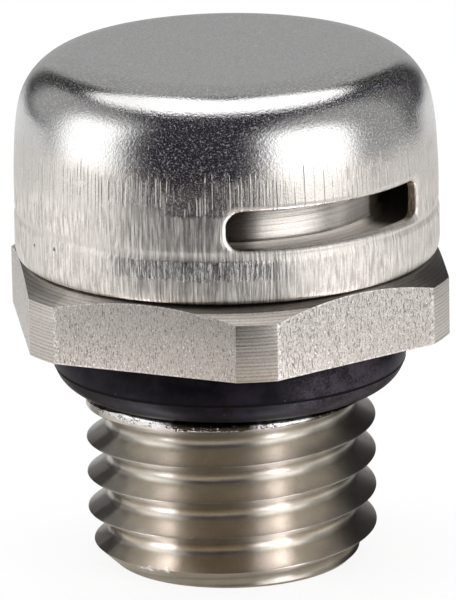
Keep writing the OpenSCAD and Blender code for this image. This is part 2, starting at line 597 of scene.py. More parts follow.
@dataclass(frozen=True)
class DrawnSteel:
    """Satin sheet steel: mottled above, scored upright below, with a scuffed skirt and a streaked band that
    is painted darker in front.
    """

    light: float = 0.64
    warmth: float = 0.02
    bloom: float = 0.3
    wall_r: float = 8.62
    inner_r: Span = (8.2, 8.3)
    inner_top: Span = (18.6, 18.8)
    marks_from: float = 17.95
    marks_raggedness: float = 3.4
    skirt_from: float = 16.62
    scuffed: Sector = (-104.0, 8.0, 3.0)
    # sector facing the camera; off it the skirt is painted lighter, as painted light on the sides
    front: Sector = (-102.0, 14.0, 15.0)
    waist_z: float = 14.96
    band: Span = (13.92, 14.74)
    # sector in front where the band is streaked and painted darker, partly as painted shade
    combed_and_shaded: Sector = (-105.0, 14.0, 16.0)
    slot_z: float = 15.93
    # sector of the slot's left lip that gets a painted highlight
    lip: Sector = (-99.0, 2.2, 2.0)
    # sector of the lining that is painted nearly black, as painted shade
    lining_shade_sector: Sector = (27.0, 16.0, 6.0)
    pits: tuple[tuple[float, float, float], ...] = (
        (-160.1, 14.28, 0.1),
        (-149.7, 14.45, 0.12),
        (-15.0, 14.5, 0.13),
    )
    relief_mm: float = 0.04

    def patterns(self, board: Board) -> SheetPatterns:
        """Lays out the marks and the zones of the sheet.

        Args:
            board: The board of the new material.

        Returns:
            The patterns and masks.
        """
        torn = board.noise(board.around(26, 0, 1.8), 1.0, 4.0, 0.8)
        tops = board.noise(board.around(34, 0, 0), 1.0, 3.0, 0.75)
        limit = self.marks_from - 0.25, self.marks_from + 0.25
        marked = board.ease(board.ragged(tops, self.marks_raggedness), *limit, Side.BELOW)

        scuffed = board.sector(*self.scuffed)
        edge = board.ragged(torn, 0.8)
        sharp = board.ease(edge, self.skirt_from - 0.1, self.skirt_from + 0.06, Side.BELOW)
        soft = board.ease(edge, self.skirt_from - 0.7, self.skirt_from + 0.5, Side.BELOW)
        brink = board.ease(board.off_level(edge, self.skirt_from), 0.02, 0.06, Side.BELOW)

        patches = board.ease(board.noise(board.around(8, 0, 1.1), 1.0, 2.0), 0.34, 0.46)
        course = board.off_level(board.noise(board.around(32, 0, 0.05), 1.0, 0.0), 0.5)
        fine = board.noise(board.place, 14.0, 2.0, 0.85)
        low, high = self.band
        pitted = 0.0
        for azimuth, height, reach in self.pits:
            pitted = board.most(pitted, board.mark(azimuth, self.wall_r, height, reach, torn))
        return SheetPatterns(
            grain=board.noise(board.place, 9.5, 3.0, 0.7),
            streaks=board.noise(board.around(95, 0, 1.2), 1.0, 3.0, 0.65),
            long_streaks=board.noise(board.around(80, 0, 0.45), 1.0, 3.0, 0.65),
            score=board.times(board.ease(course, 0.0, 0.04, Side.BELOW), patches, marked),
            marked=marked,
            skirt=board.between(scuffed, soft, sharp),
            scuff=board.times(brink, scuffed),
            front=board.sector(*self.front),
            band=board.times(
                board.ease(board.ragged(torn, 0.5), low, low + 0.08),
                board.ease(board.z, high - 0.03, high + 0.02, Side.BELOW),
                board.sector(*self.combed_and_shaded),
            ),
            waist=board.ease(board.off_level(board.z, self.waist_z), 0.12, 0.2, Side.BELOW),
            pitted=pitted,
            specks=board.ease(fine, 0.51, 0.69),
            speckle=board.ease(fine, 0.4, 0.6),
            inside=board.times(
                board.ease(board.radius, *self.inner_r, Side.BELOW),
                board.ease(board.z, *self.inner_top, Side.BELOW),
            ),
            # where the painted highlight on the slot's left lip goes
            mouth=board.times(
                board.ease(board.radius, self.wall_r - 0.07, self.wall_r - 0.045, Side.BELOW),
                board.ease(board.off_level(board.z, self.slot_z), 0.95, 1.1, Side.BELOW),
                board.sector(*self.lip),
            ),
        )

    def press(self, board: Board, seen: SheetPatterns) -> None:
        """Presses grain, score lines, streaks and pits into the sheet.

        Args:
            board: The board of the material.
            seen: The patterns and masks.
        """
        smooth_top = board.ease(board.z, 20.2, 21.0)
        grainy = board.times(seen.grain, board.between(smooth_top, 0.27, 0.18))
        scored = board.times(board.minus(seen.long_streaks, 0.3), 0.45)
        scored = board.plus(board.times(seen.grain, 0.22), scored)
        upper = board.minus(board.between(seen.marked, grainy, scored), board.times(seen.score, 0.3))
        rubbed = board.between(0.2, seen.long_streaks, seen.grain)
        level = board.minus(board.between(seen.band, rubbed, seen.streaks), 0.5)
        lower = board.plus(board.times(level, board.between(seen.band, 1.25, 1.5)), 0.3)
        height = board.between(seen.skirt, upper, lower)
        board.relief(board.minus(height, board.times(seen.pitted, 1.5)), self.relief_mm)

    def colour_skirt(self, board: Board, seen: SheetPatterns) -> Socket:
        """Mixes the colour of the rubbed sheet below the marks, painted lighter and evener off the front as
        painted light on the sides, and darker in the band in front, partly as painted shade.

        Args:
            board: The board of the material.
            seen: The patterns and masks.

        Returns:
            The colour's socket.
        """
        worked = board.ease(board.noise(board.around(4, 0, 0.7), 1.0, 2.0), 0.38, 0.6)
        tone = board.ease(board.between(0.8, seen.grain, seen.streaks), 0.36, 0.62)
        tone = board.between(board.times(seen.waist, 0.7), tone, 0.5)
        # Painted light: off the front the skirt's tone is evened out and its colours are lighter; in front it
        # is darker and streaked.
        evened = board.between(worked, board.between(seen.front, 0.55, 0.1), 0.0)
        tone = board.between(evened, tone, 0.6)
        rubbed = board.blend(tone, shade(self.light * 0.72, 0.07), shade(self.light * 1.26, 0.06))
        lines = board.between(0.6, tone, board.ease(seen.long_streaks, 0.42, 0.6))
        worn = board.blend(lines, shade(self.light * 0.42, 0.06), shade(self.light * 1.2, 0.05))
        # The band in front: comb streaks, painted darker, partly streaks and partly painted shade.
        comb = board.ease(board.between(0.45, seen.streaks, seen.long_streaks), 0.44, 0.58)
        combed_and_shaded = board.blend(comb, shade(self.light * 0.44, 0.03), shade(self.light * 1.14, 0.04))
        return board.blend(seen.band, board.blend(seen.front, rubbed, worn), combed_and_shaded)

    def colour(self, board: Board, seen: SheetPatterns) -> None:
        """Colours the outside and the marks, paints a highlight on the slot's left lip, and paints shade into
        one sector of the lining inside.

        Args:
            board: The board of the material.
            seen: The patterns and masks.
        """
        dark, pale = shade(self.light * 0.84, self.warmth - 0.02), shade(self.light * 1.04, self.warmth)
        wall = board.times(board.ease(board.z, 17.8, 19.0, Side.BELOW), 0.8)
        upper = board.blend(wall, board.blend(seen.speckle, dark, pale), shade(self.light * 0.86, 0.075))
        colour = board.blend(seen.skirt, upper, self.colour_skirt(board, seen))
        scuffed = board.most(board.times(seen.scuff, 0.75), seen.pitted)
        dirt = board.most(board.times(seen.score, 0.18), scuffed)
        colour = board.blend(dirt, colour, shade(self.light * 0.3, 0.08))
        # Painted highlight: the slot's left lip is painted near white.
        colour = board.blend(seen.mouth, colour, shade(0.95, 0.03))
        # Painted shade: the lining is pale, but nearly black in the sector seen through the slot, where the
        # cavity lies in shade.
        lining = board.blend(board.sector(*self.lining_shade_sector), shade(0.85, 0.1), shade(0.03, 0.2))
        board.put("Base Color", board.blend(seen.inside, colour, lining))

    def polish(self, board: Board, seen: SheetPatterns) -> None:
        """Sets how smooth and how bare the sheet is from place to place.

        Args:
            board: The board of the material.
            seen: The patterns and masks.
        """
        mottle = board.ease(board.noise(board.place, 8.0, 2.0, 0.6), 0.36, 0.64)
        rough = board.between(board.ease(board.z, 17.0, 19.8), board.between(mottle, 0.13, 0.25), 0.1)
        rough = board.between(seen.marked, rough, 0.26)
        rough = board.between(seen.skirt, rough, board.between(seen.band, 0.42, 0.24))
        board.put("Roughness", board.between(seen.inside, rough, 0.55))
        fibres = board.times(board.ease(seen.streaks, 0.5, 0.64), seen.marked, 0.9)
        bloom = board.times(board.most(seen.specks, fibres), self.bloom)
        bloom = board.times(bloom, board.between(seen.skirt, 1.0, 0.4))
        bloom = board.plus(bloom, board.times(seen.waist, seen.front, 0.22))
        bloom = board.between(seen.mouth, bloom, 0.5)
        board.put("Metallic", board.between(seen.inside, board.minus(1.0, bloom), 0.3))

    def material(self) -> bpy.types.Material:
        """Builds the finish.

        Returns:
            The material.
        """
        board = Board("drawn_steel")
        seen = self.patterns(board)
        for step in (self.press, self.colour, self.polish):
            step(board, seen)
        return board.material


@dataclass(frozen=True)
class PunchedSteel:
    """The edge that the punch leaves: torn and browned, with painted light on the sill where light through
    the slot falls on it.
    """

    light: float = 0.28
    warmth: float = 0.22
    sill_z: float = 15.13
    # sector of the sill that gets painted light
    rubbed: Sector = (-62.0, 22.0, 6.0)

    def material(self) -> bpy.types.Material:
        """Builds the finish.

        Returns:
            The material.
        """
        board = Board("punched_steel")
        torn = board.noise(board.stretched(9, 9, 3), 1.0, 3.0, 0.7)
        tone = board.ease(torn, 0.35, 0.65)
        low = board.ease(board.z, self.sill_z + 0.04, self.sill_z + 0.12, Side.BELOW)
        # Painted light: the sill is painted pale and made less bare where light through the slot falls on it.
        sill = board.times(low, board.sector(*self.rubbed))
        brown = board.blend(tone, shade(self.light * 0.4, self.warmth * 2), shade(self.light, self.warmth))
        bright = board.blend(tone, shade(self.light * 2.0, 0.08), shade(self.light * 3.0, 0.05))
        board.put("Base Color", board.blend(sill, brown, bright))
        board.put("Metallic", board.between(sill, 0.8, 0.3))
        board.put("Roughness", 0.4)
        board.relief(torn, 0.03)
        return board.material


@dataclass(frozen=True)
class TurnedSteel:
    """Turned steel with fine tool lines round the axis."""

    name: str = "turned_steel"
    light: float = 0.62
    warmth: float = 0.07
    lines_per_mm: Span = (12.0, -23.0)
    feeds_per_mm: Span = (6.9, 2.9)
    roughness: Span = (0.34, 0.46)
    brushing: float = 0.88
    depth: float = 0.015
    dark_lines: float = 0.6
    regular: float = 0.7
    bareness: float = 1.0
    # zones painted dark as painted shade: middle, half width and fade of a sector, radius limit, strength
    shaded_zones: tuple[tuple[float, float, float, float, float], ...] = ()

    def material(self) -> bpy.types.Material:
        """Builds the finish.

        Returns:
            The material.
        """
        board = Board(self.name)
        board.put("Metallic", self.bareness)
        board.brushed(self.brushing, 0.25)
        lines = board.noise(board.around(0.6, *self.lines_per_mm), 1.0, 2.0, 0.75)
        grain = board.noise(board.place, 13.0, 3.0, 0.65)
        upright, outward = self.feeds_per_mm
        feed = board.minus(board.times(board.z, upright), board.times(board.radius, outward))
        feed = board.plus(feed, board.times(board.noise(board.around(1.5, 0.4, 0.6), 1.0, 1.0), 0.6))
        wave = board.maths("SINE", board.times(feed, math.tau))
        wave = board.plus(board.times(wave, 0.16), 0.5)
        lines = board.between(self.regular, lines, wave)
        board.relief(board.between(0.3, lines, grain), self.depth)
        tone = board.ease(board.between(0.35, lines, grain), 0.36, 0.62)
        dark = shade(self.light * self.dark_lines, self.warmth * 1.5)
        colour = board.blend(tone, dark, shade(self.light, self.warmth))
        edge = board.plus(board.radius, board.times(board.minus(grain, 0.5), 0.1))
        # Painted shade: each zone darkens the colour inside a sector and a radius, where shade and dark
        # reflections fall.
        for middle, half, soft, limit, strength in self.shaded_zones:
            stain = board.ease(edge, limit - 0.03, limit + 0.03, Side.BELOW)
            stain = board.times(stain, board.sector(middle, half, soft), strength)
            colour = board.blend(stain, colour, shade(0.07, 0.2))
        board.put("Base Color", colour)
        board.put("Roughness", board.between(grain, *self.roughness))
        return board.material


@dataclass(frozen=True)
class RibbedSteel:
    """Turned steel with fine ribs that lean upwards, as a form tool leaves them."""

    light: float = 0.85
    warmth: float = 0.05
    ribs_per_mm: float = 6.0
    lean: float = 0.3
    # sectors painted dark as painted shade: the slot's left end and the collar's right edge
    shaded_sectors: tuple[Sector, ...] = ((-98.0, 6.0, 9.0), (-17.0, 12.0, 3.0))
    dusty: Sector = (-41.0, 10.0, 6.0)

    def material(self) -> bpy.types.Material:
        """Builds the finish.

        Returns:
            The material.
        """
        board = Board("ribbed_steel")
        board.brushed(0.7, 0.25)
        lines = board.noise(board.around(0.8, 0, 14.0), 1.0, 3.0, 0.75)
        grain = board.noise(board.place, 13.0, 3.0, 0.65)
        place = board.times(board.z, self.ribs_per_mm)
        fall = board.maths("DIVIDE", board.minus(1.0, board.maths("FRACT", place)), self.ribs_per_mm)
        rough = board.times(board.between(0.3, lines, grain), 0.02)
        board.relief(board.plus(board.times(fall, self.lean), rough), 1.0)
        tone = board.ease(board.between(0.4, lines, grain), 0.34, 0.64)
        colour = board.blend(tone, shade(self.light * 0.7, self.warmth * 1.5), shade(self.light, self.warmth))
        # Painted shade: dark at the slot's left end, and dark brown and less bare at the collar's right edge,
        # where it lies in shade inside the cap.
        left, right = (board.sector(*place) for place in self.shaded_sectors)
        colour = board.blend(board.times(left, board.between(grain, 0.6, 1.1)), colour, shade(0.12, 0.2))
        colour = board.blend(right, colour, shade(0.1, 0.28))
        board.put("Base Color", colour)
        bare = board.between(board.sector(*self.dusty), 1.0, 0.64)
        board.put("Metallic", board.between(right, bare, 0.3))
        board.put("Roughness", board.between(grain, 0.26, 0.34))
        return board.material


@dataclass(frozen=True)
class BarSteel:
    """The drawn skin of hexagon bar: grainy, with dark upright dashes and bright, chipped edges."""

    light: float = 0.6
    warmth: float = 0.055
    foot_z: float = 10.0
    chamfer_foot: float = 17.76
    chamfer_slope: float = 0.577
    corner_r: float = 9.375
    spared: tuple[Span, Span] = ((-1.6, -1.5), (-0.2, 0.2))

    def material(self) -> bpy.types.Material:
        """Builds the finish.

        Returns:
            The material.
        """
        board = Board("bar_steel")
        board.put("Metallic", 1.0)
        dashes = board.ease(board.noise(board.stretched(22, 22, 5), 1.0, 3.0, 0.75), 0.36, 0.47)
        streaks = board.noise(board.stretched(18, 18, 0.6), 1.0, 2.0, 0.6)
        grain = board.noise(board.place, 17.0, 2.0, 0.8)
        specks = board.ease(board.noise(board.stretched(17, 17, 10), 1.0, 2.0, 0.7), 0.6, 0.7)
        chips = board.noise(board.place, 9.0, 3.0, 0.8)
        brink = board.plus(board.z, board.times(board.radius, self.chamfer_slope))
        left, right = self.spared
        spared = board.times(board.ease(board.x, *left), board.ease(board.x, *right, Side.BELOW), 0.1)
        corner = board.plus(board.off_level(board.radius, self.corner_r), spared)
        near = board.maths("MINIMUM", board.off_level(brink, self.chamfer_foot), corner)
        near = board.maths("MINIMUM", near, board.off_level(board.z, self.foot_z))
        chipped = board.ease(board.minus(near, board.times(chips, 0.16)), -0.04, 0.0, Side.BELOW)
        chipped = board.times(chipped, board.ease(chips, 0.48, 0.6), 0.8)
        rough = board.between(0.5, board.between(0.4, dashes, streaks), grain)
        board.relief(rough, 0.04)
        tone = board.maths("MULTIPLY", dashes, board.between(streaks, 0.7, 1.15), clamp=True)
        grainy = board.between(board.ease(grain, 0.3, 0.7), 0.5, 1.25)
        tone = board.maths("MULTIPLY", tone, grainy, clamp=True)
        dark, pale = shade(self.light * 0.42, self.warmth * 2), shade(self.light * 1.05, self.warmth)
        colour = board.blend(tone, dark, pale)
        bright = board.most(specks, chipped)
        board.put("Base Color", board.blend(bright, colour, shade(0.95, 0.02)))
        rough = board.between(dashes, 0.62, 0.46)
        board.put("Roughness", board.between(bright, rough, 0.36))
        return board.material


@dataclass(frozen=True)
class ThreadSteel:
    """Satin thread flanks of a warm, dull tone, with a torn edge where the thread runs out, painted silver
    where light falls on it and dark brown in shade.
    """

    light: float = 0.5
    olive: Span = (1.07, 0.88)
    burr_from: float = 6.88
    # sectors of the torn edge that are painted silver, as painted light
    lit_burr_sectors: tuple[Span, ...] = ((-138.8, 15.0), (-76.0, 9.0))
    # sectors painted dark as painted shade at the thread's left and right edges: middle, half, soft, strength
    shaded_sectors: tuple[tuple[float, float, float, float], ...] = (
        (-166.0, 3.0, 4.0, 0.6),
        (-26.0, 8.0, 14.0, 0.6),
    )
    dents: tuple[tuple[float, float, float, float], ...] = (
        (-137.0, 5.72, 0.74, 0.16),
        (-133.0, 5.75, 0.76, 0.26),
        (-128.0, 5.78, 0.8, 0.18),
        (-124.5, 5.8, 0.84, 0.26),
    )

    def material(self) -> bpy.types.Material:
        """Builds the finish.

        Returns:
            The material.
        """
        board = Board("thread_steel")
        board.brushed(0.75, 0.25)
        lines = board.noise(board.around(0.5, 6.0, 13.0), 1.0, 2.0, 0.7)
        stain = board.noise(board.place, 1.4, 3.0, 0.6)
        grain = board.noise(board.place, 12.0, 2.0, 0.6)
        torn = board.noise(board.around(16, 0, 4.0), 1.0, 5.0, 0.8)
        rags = board.noise(board.around(26, 0, 1.2), 1.0, 3.0, 0.75)
        burr = board.ease(board.ragged(torn, 0.5), self.burr_from, self.burr_from + 0.04)
        dented = 0.0
        for dent in self.dents:
            dented = board.most(dented, board.mark(*dent, torn))
        bright = board.most(burr, board.times(dented, board.ease(torn, 0.4, 0.5)))
        smooth = board.times(board.between(0.3, lines, grain), 0.35)
        board.relief(board.between(bright, smooth, board.between(0.2, rags, lines)), 0.03)
        tone = board.ease(board.between(0.4, stain, grain), 0.35, 0.65)
        red, blue = self.olive
        dark, pale = self.light * 0.86, self.light
        colour = board.blend(tone, (dark * red, dark, dark * blue, 1.0), (pale * red, pale, pale * blue, 1.0))
        # Painted shade: dark bands where the thread's edges lie in shade.
        for middle, half, soft, strength in self.shaded_sectors:
            dirt = board.times(board.sector(middle, half, soft), strength)
            colour = board.blend(dirt, colour, shade(0.06, 0.2))
        cracks = board.off_level(board.noise(board.around(9, 0, 3.0), 1.0, 3.0, 0.7), 0.5)
        cracked = board.ease(cracks, 0.0, 0.035)
        specks = board.ease(board.noise(board.place, 11.0, 2.0, 0.8), 0.58, 0.68)
        brink = board.ease(board.off_level(board.ragged(torn, 0.5), self.burr_from), 0.04, 0.07, Side.BELOW)
        silver = board.most(specks, board.times(brink, board.ease(rags, 0.42, 0.5)))
        # Painted light and shade on the torn edge: silver in the lit sectors and along its brink, dark brown
        # elsewhere.
        for middle, half in self.lit_burr_sectors:
            silver = board.between(board.sector(middle, half, 5.0), silver, cracked)
        silver = board.most(silver, dented)
        burr_colour = board.blend(silver, shade(0.04, 0.3), shade(0.7, 0.01))
        colour = board.blend(bright, colour, burr_colour)
        knocked = board.times(bright, dented)
        board.put("Base Color", board.blend(knocked, colour, shade(1.0, 0.01)))
        rough = board.between(stain, 0.27, 0.36)
        board.put("Roughness", board.between(bright, rough, 0.26))
        board.put("Metallic", board.between(knocked, 1.0, 0.5))
        return board.material


@dataclass(frozen=True)
class Rubber:
    """Moulded rubber with a faint bloom."""

    name: str
    light: float = 0.0032
    roughness: float = 0.36
    seam_z: float = 0.0
    # sector of a dusty film that also carries a painted sheen
    dusty: Sector = (-58.0, 10.0, 14.0)

    def material(self) -> bpy.types.Material:
        """Builds the finish.

        Returns:
            The material.
        """
        board = Board(self.name)
        bloom = board.noise(board.place, 0.9, 3.0, 0.6)
        grain = board.noise(board.place, 11.0, 3.0, 0.6)
        dust = board.ease(board.spots(board.place, 2.2), 0.025, 0.06, Side.BELOW)
        dark = (self.light, self.light * 0.82, self.light * 1.35, 1.0)
        pale = (self.light * 3.4, self.light * 2.6, self.light * 4.6, 1.0)
        colour = board.blend(board.ease(bloom, 0.35, 0.7), dark, pale)
        # Dust and painted sheen: a paler, violet film in one sector, where the ring shows a sheen.
        film = board.times(board.sector(*self.dusty), board.ease(board.between(0.5, bloom, grain), 0.35, 0.6))
        colour = board.blend(board.times(film, 0.6), colour, (0.055, 0.045, 0.06, 1.0))
        colour = board.blend(board.times(dust, 0.35), colour, shade(0.3))
        off_seam = board.off_level(board.z, self.seam_z)
        chewed = board.noise(board.around(14, 0, 3.0), 1.0, 4.0, 0.8)
        seam = board.ease(board.minus(off_seam, board.times(chewed, 0.12)), -0.015, 0.02, Side.BELOW)
        board.put("Base Color", board.blend(seam, colour, shade(0.001)))
        rough = board.between(grain, self.roughness - 0.06, self.roughness + 0.1)
        board.put("Roughness", board.between(seam, rough, 0.7))
        board.put("Specular IOR Level", 0.07)
        board.relief(board.between(0.5, grain, bloom), 0.012)
        return board.material


@dataclass(frozen=True)
class MembraneFilm:
    """White stretched film with a fine fleece."""

    light: float = 0.86

    def material(self) -> bpy.types.Material:
        """Builds the finish.

        Returns:
            The material.
        """
        board = Board("membrane_film")
        fleece = board.noise(board.place, 9.0, 4.0, 0.7)
        colour = board.blend(fleece, shade(self.light * 0.9, 0.01), shade(self.light, 0.01))
        board.put("Base Color", colour)
        board.put("Roughness", 0.8)
        board.relief(fleece, 0.01)
        return board.material


# Sub-assemblies


@dataclass
class ThreadForm:
    """The thread that is cut into the shank, right-handed."""

    crest_r: float = 5.925
    root_r: float = 5.02
    pitch: float = 1.5
    root_round: float = 0.36
    flank_angle: float = 30.0
    lip_round: float = 0.05
    lip_points: tuple[Ring, ...] = ((0.09, 1.06), (0.004, 0.96), (-0.0125, 0.6))
    groove_height_at_x: float = 0.608
    low: float = -1.6
    high: float = 8.0
    fade: Span = (7.2, 7.75)
    fade_growth: float = 0.2
    fade_steps: int = 24
    steps: int = 144

    def groove_section(self) -> list[Ring]:
        """Cross-section of one groove, as radius and height from the groove's middle.

        Returns:
            The outline from the lower lip, past the rounded root, to the upper lip, and back outside.
        """
        root = []
        for turn in range(60, -1, -10):
            angle = math.radians(turn)
            root.append(
                (self.root_r + self.root_round * (1 - math.cos(angle)), self.root_round * math.sin(angle))
            )
        edge_r = self.crest_r - self.lip_round
        edge = root[0][1] + (edge_r - root[0][0]) * math.tan(math.radians(self.flank_angle))
        lip = [(self.crest_r + out, edge + share * self.lip_round) for out, share in self.lip_points]
        half = [*lip, (edge_r, edge), *root]
        return [(r, -h) for r, h in half] + [(r, h) for r, h in reversed(half[:-1])]

    def cutter(self) -> bpy.types.Object:
        """Sweeps the groove's section along the helix.

        Returns:
            The closed cutting shape in mm.
        """
        deselect_all()
        section = self.groove_section()
        turns_below = math.ceil((self.groove_height_at_x - self.low) / self.pitch)
        start = self.groove_height_at_x - self.pitch * turns_below
        bpy.ops.mesh.primitive_plane_add(size=0.01)
        tool = bpy.context.active_object
        bpy.ops.object.mode_set(mode="EDIT")
        bpy.ops.mesh.select_mode(type="VERT")
        bpy.ops.mesh.select_all(action="SELECT")
        bpy.ops.mesh.merge(type="CENTER")
        place = (0.0, 0.0)
        for i, (radius, height) in enumerate([*section, section[0]]):
            step = {"value": (radius - place[0], 0, height - place[1])}
            if i == 0:
                step["value"] = (radius, 0, start + height)
                bpy.ops.transform.translate(**step)
            else:
                bpy.ops.mesh.extrude_region_move(TRANSFORM_OT_translate=step)
            place = (radius, height)
        bpy.ops.mesh.select_all(action="SELECT")
        bpy.ops.mesh.remove_doubles(threshold=0.0001)
        bpy.ops.object.mode_set(mode="OBJECT")
        screw = tool.modifiers.new("helix", "SCREW")
        screw.axis = "Z"
        screw.angle = math.tau
        screw.iterations = math.ceil((self.high - start) / self.pitch)
        screw.screw_offset = self.pitch
        screw.steps = screw.render_steps = self.steps
        screw.use_merge_vertices = False
        bpy.ops.object.modifier_apply(modifier=screw.name)
        bpy.ops.object.mode_set(mode="EDIT")
        bpy.ops.mesh.select_all(action="SELECT")
        bpy.ops.mesh.remove_doubles(threshold=0.001)
        choose_open_edges()
        bpy.ops.mesh.edge_face_add()
        self.run_out(tool)
        bpy.ops.mesh.select_all(action="SELECT")
        bpy.ops.mesh.normals_make_consistent(inside=False)
        bpy.ops.object.mode_set(mode="OBJECT")
        return tool

    def run_out(self, tool: bpy.types.Object) -> None:
        """Lets the groove climb out of the shank where the thread ends, in small steps outwards.

        Args:
            tool: The cutting shape, in edit mode.
        """
        first, last = self.fade
        grow = 1 + self.fade_growth / self.fade_steps
        for i in range(self.fade_steps):
            limit = first + (last - first) * i / self.fade_steps
            choose_points(tool, lambda place: self.groove_middle(place) > limit)
            bpy.ops.transform.resize(value=(grow, grow, 1), center_override=(0, 0, 0))

    def groove_middle(self, place: Vector) -> float:
        """Height of the groove's middle beside a point of the cutting shape.

        Args:
            place: The point in mm.

        Returns:
            The height in mm, in the turn that is nearest to the point.
        """
        groove = self.groove_height_at_x + self.pitch * math.atan2(place.y, place.x) / math.tau
        off = (place.z - groove + self.pitch / 2) % self.pitch - self.pitch / 2
        return place.z - off


@dataclass
class TurnedBody:
    """The body: threaded shank, hexagon, flange, collar and vent passage, in one piece."""

    bore_r: float = 3.25
    bore_chamfer: float = 0.3
    end_r: float = 4.925
    end_chamfer_h: float = 0.95
    thread_r: float = 5.925
    thread_top: float = 7.28
    runout: float = 0.4
    runout_points: tuple[Ring, ...] = ((0.0, 0.5), (0.08, 0.3), (0.3, 0.1), (1.0, 0.0))
    relief_r: float = 4.6
    relief_rounds: Span = (0.1, 0.15)
    hex_bottom: float = 10.0
    hex_top: float = 13.1
    hex_flat: float = 8.5
    corner_r: float = 9.375
    hex_face_r: float = 8.07
    chamfer_angle: float = 30.0
    neck_r: float = 7.77
    flange_bottom: float = 13.6
    flange_r: float = 8.165
    flange_top: float = 14.7
    flange_chamfer: float = 0.12
    collar_r: float = 6.25
    collar_fillet: float = 0.4
    collar_chamfer: float = 0.3
    collar_top: float = 18.4
    seat_r: float = 4.9
    seat_z: float = 16.2
    steps: int = 288

    def section(self) -> list[Ring]:
        """Half section of the body before the flats and the thread are cut.

        Returns:
            The rings from the bore's foot, round the outside and back down the bore.
        """
        slope = math.tan(math.radians(self.chamfer_angle))
        strip_top = self.hex_top - (self.corner_r - self.hex_face_r) * slope
        low, high = self.relief_rounds
        runout = [
            (self.thread_r - inward * self.runout, self.thread_top - down * self.runout)
            for inward, down in self.runout_points
        ]
        middle = (self.collar_r + self.collar_fillet, self.flange_top + self.collar_fillet)
        fillet = arc(middle, self.collar_fillet, 270, 180, 6)
        return [
            (self.bore_r + self.bore_chamfer, 0.0),
            (self.end_r, 0.0),
            (self.thread_r, self.end_chamfer_h),
            *runout,
            (self.relief_r + low, self.thread_top),
            (self.relief_r, self.thread_top + low),
            (self.relief_r, self.hex_bottom - high),
            (self.relief_r + high, self.hex_bottom),
            (self.corner_r, self.hex_bottom),
            (self.corner_r, strip_top),
            (self.hex_face_r, self.hex_top),
            (self.neck_r, self.hex_top),
            (self.neck_r, self.flange_bottom),
            (self.flange_r - self.flange_chamfer, self.flange_bottom),
            (self.flange_r, self.flange_bottom + self.flange_chamfer),
            (self.flange_r, self.flange_top - self.flange_chamfer),
            (self.flange_r - self.flange_chamfer, self.flange_top),
            *fillet,
            (self.collar_r, self.collar_top - self.collar_chamfer),
            (self.collar_r - self.collar_chamfer, self.collar_top),
            (self.seat_r, self.collar_top),
            (self.seat_r, self.seat_z),
            (self.bore_r, self.seat_z),
            (self.bore_r, self.bore_chamfer),
        ]

    def mill_flats(self, piece: bpy.types.Object) -> None:
        """Cuts the six flats of the hexagon.

        Args:
            piece: The turned blank.
        """
        pick(piece)
        bpy.ops.object.mode_set(mode="EDIT")
        for i in range(6):
            angle = math.radians(60 * i)
            outward = Vector((math.cos(angle), math.sin(angle), 0))
            bpy.ops.mesh.select_all(action="SELECT")
            middle = outward * self.hex_flat
            bpy.ops.mesh.bisect(plane_co=middle, plane_no=outward, use_fill=True, clear_outer=True)
        bpy.ops.object.mode_set(mode="OBJECT")

    def dress(self, piece: bpy.types.Object) -> None:
        """Gives the flats, the thread and the turned faces their finishes.

        Args:
            piece: The finished piece, in metres.
        """
        faced = TurnedSteel(
            "faced_steel",
            light=0.54,
            lines_per_mm=(17.0, -23.0),
            roughness=(0.3, 0.4),
            brushing=0.0,
            depth=0.02,
            dark_lines=0.55,
            regular=0.5,
            # painted shadow under the cap's rim, and painted shade on the cone's right
            shaded_zones=((-95.0, 20.0, 28.0, 8.8, 0.85), (-22.0, 22.0, 10.0, 9.33, 0.5)),
        )
        ledge = TurnedSteel(
            "ledge_steel",
            light=1.0,
            warmth=0.06,
            brushing=0.0,
            dark_lines=0.8,
            bareness=0.15,
            # painted shade at both ends of the ledge that shows through the slot
            shaded_zones=((-5.0, 25.0, 10.0, 9.0, 0.97), (-108.0, 16.0, 7.0, 9.0, 0.85)),
        )
        for finish in (TurnedSteel(), BarSteel(), ThreadSteel(), faced, RibbedSteel(), ledge):
            piece.data.materials.append(finish.material())
        for face in piece.data.polygons:
            face.material_index = self.face_kind(face.center / MM, face.normal)

    def face_kind(self, middle: Vector, normal: Vector) -> BodyFace:
        """Tells which finish a face of the body has.

        Args:
            middle: The face's middle in mm.
            normal: Its normal.

        Returns:
            The finish.
        """
        x, y, z = middle
        reach = math.hypot(x, y)
        on_collar = reach > 0.98 * self.collar_r
        if self.hex_bottom < z < self.hex_top and normal.x * x + normal.y * y > self.hex_flat - 0.02:
            if self.is_flat(normal):
                return BodyFace.BAR
        if z < self.thread_top and reach > self.relief_r + 0.2:
            return BodyFace.THREAD
        if z < self.hex_top + 0.01 and reach > self.neck_r:
            return BodyFace.FACED
        if z > self.flange_top + 0.6 * self.collar_fillet and on_collar:
            return BodyFace.RIBBED
        if z > self.flange_top - 0.01 and on_collar:
            return BodyFace.LEDGE
        return BodyFace.TURNED

    def is_flat(self, normal: Vector) -> bool:
        """True if a normal points the way of one of the six flats."""
        if abs(normal.z) > 0.01:
            return False
        off = math.degrees(math.atan2(normal.y, normal.x)) % 60
        return min(off, 60 - off) < 0.2

    def build(self) -> list[bpy.types.Object]:
        """Turns the blank, mills its flats and cuts its thread.

        Returns:
            The finished piece, as the only one.
        """
        piece = turn_solid("plug_body", self.section(), self.steps, ring_shaped=True)
        self.mill_flats(piece)
        soften_edges(piece, width=0.022, angle=20)
        cut_with(piece, ThreadForm(crest_r=self.thread_r).cutter())
        finish_piece(piece)
        self.dress(piece)
        hand_over(piece, "body")
        return [piece]


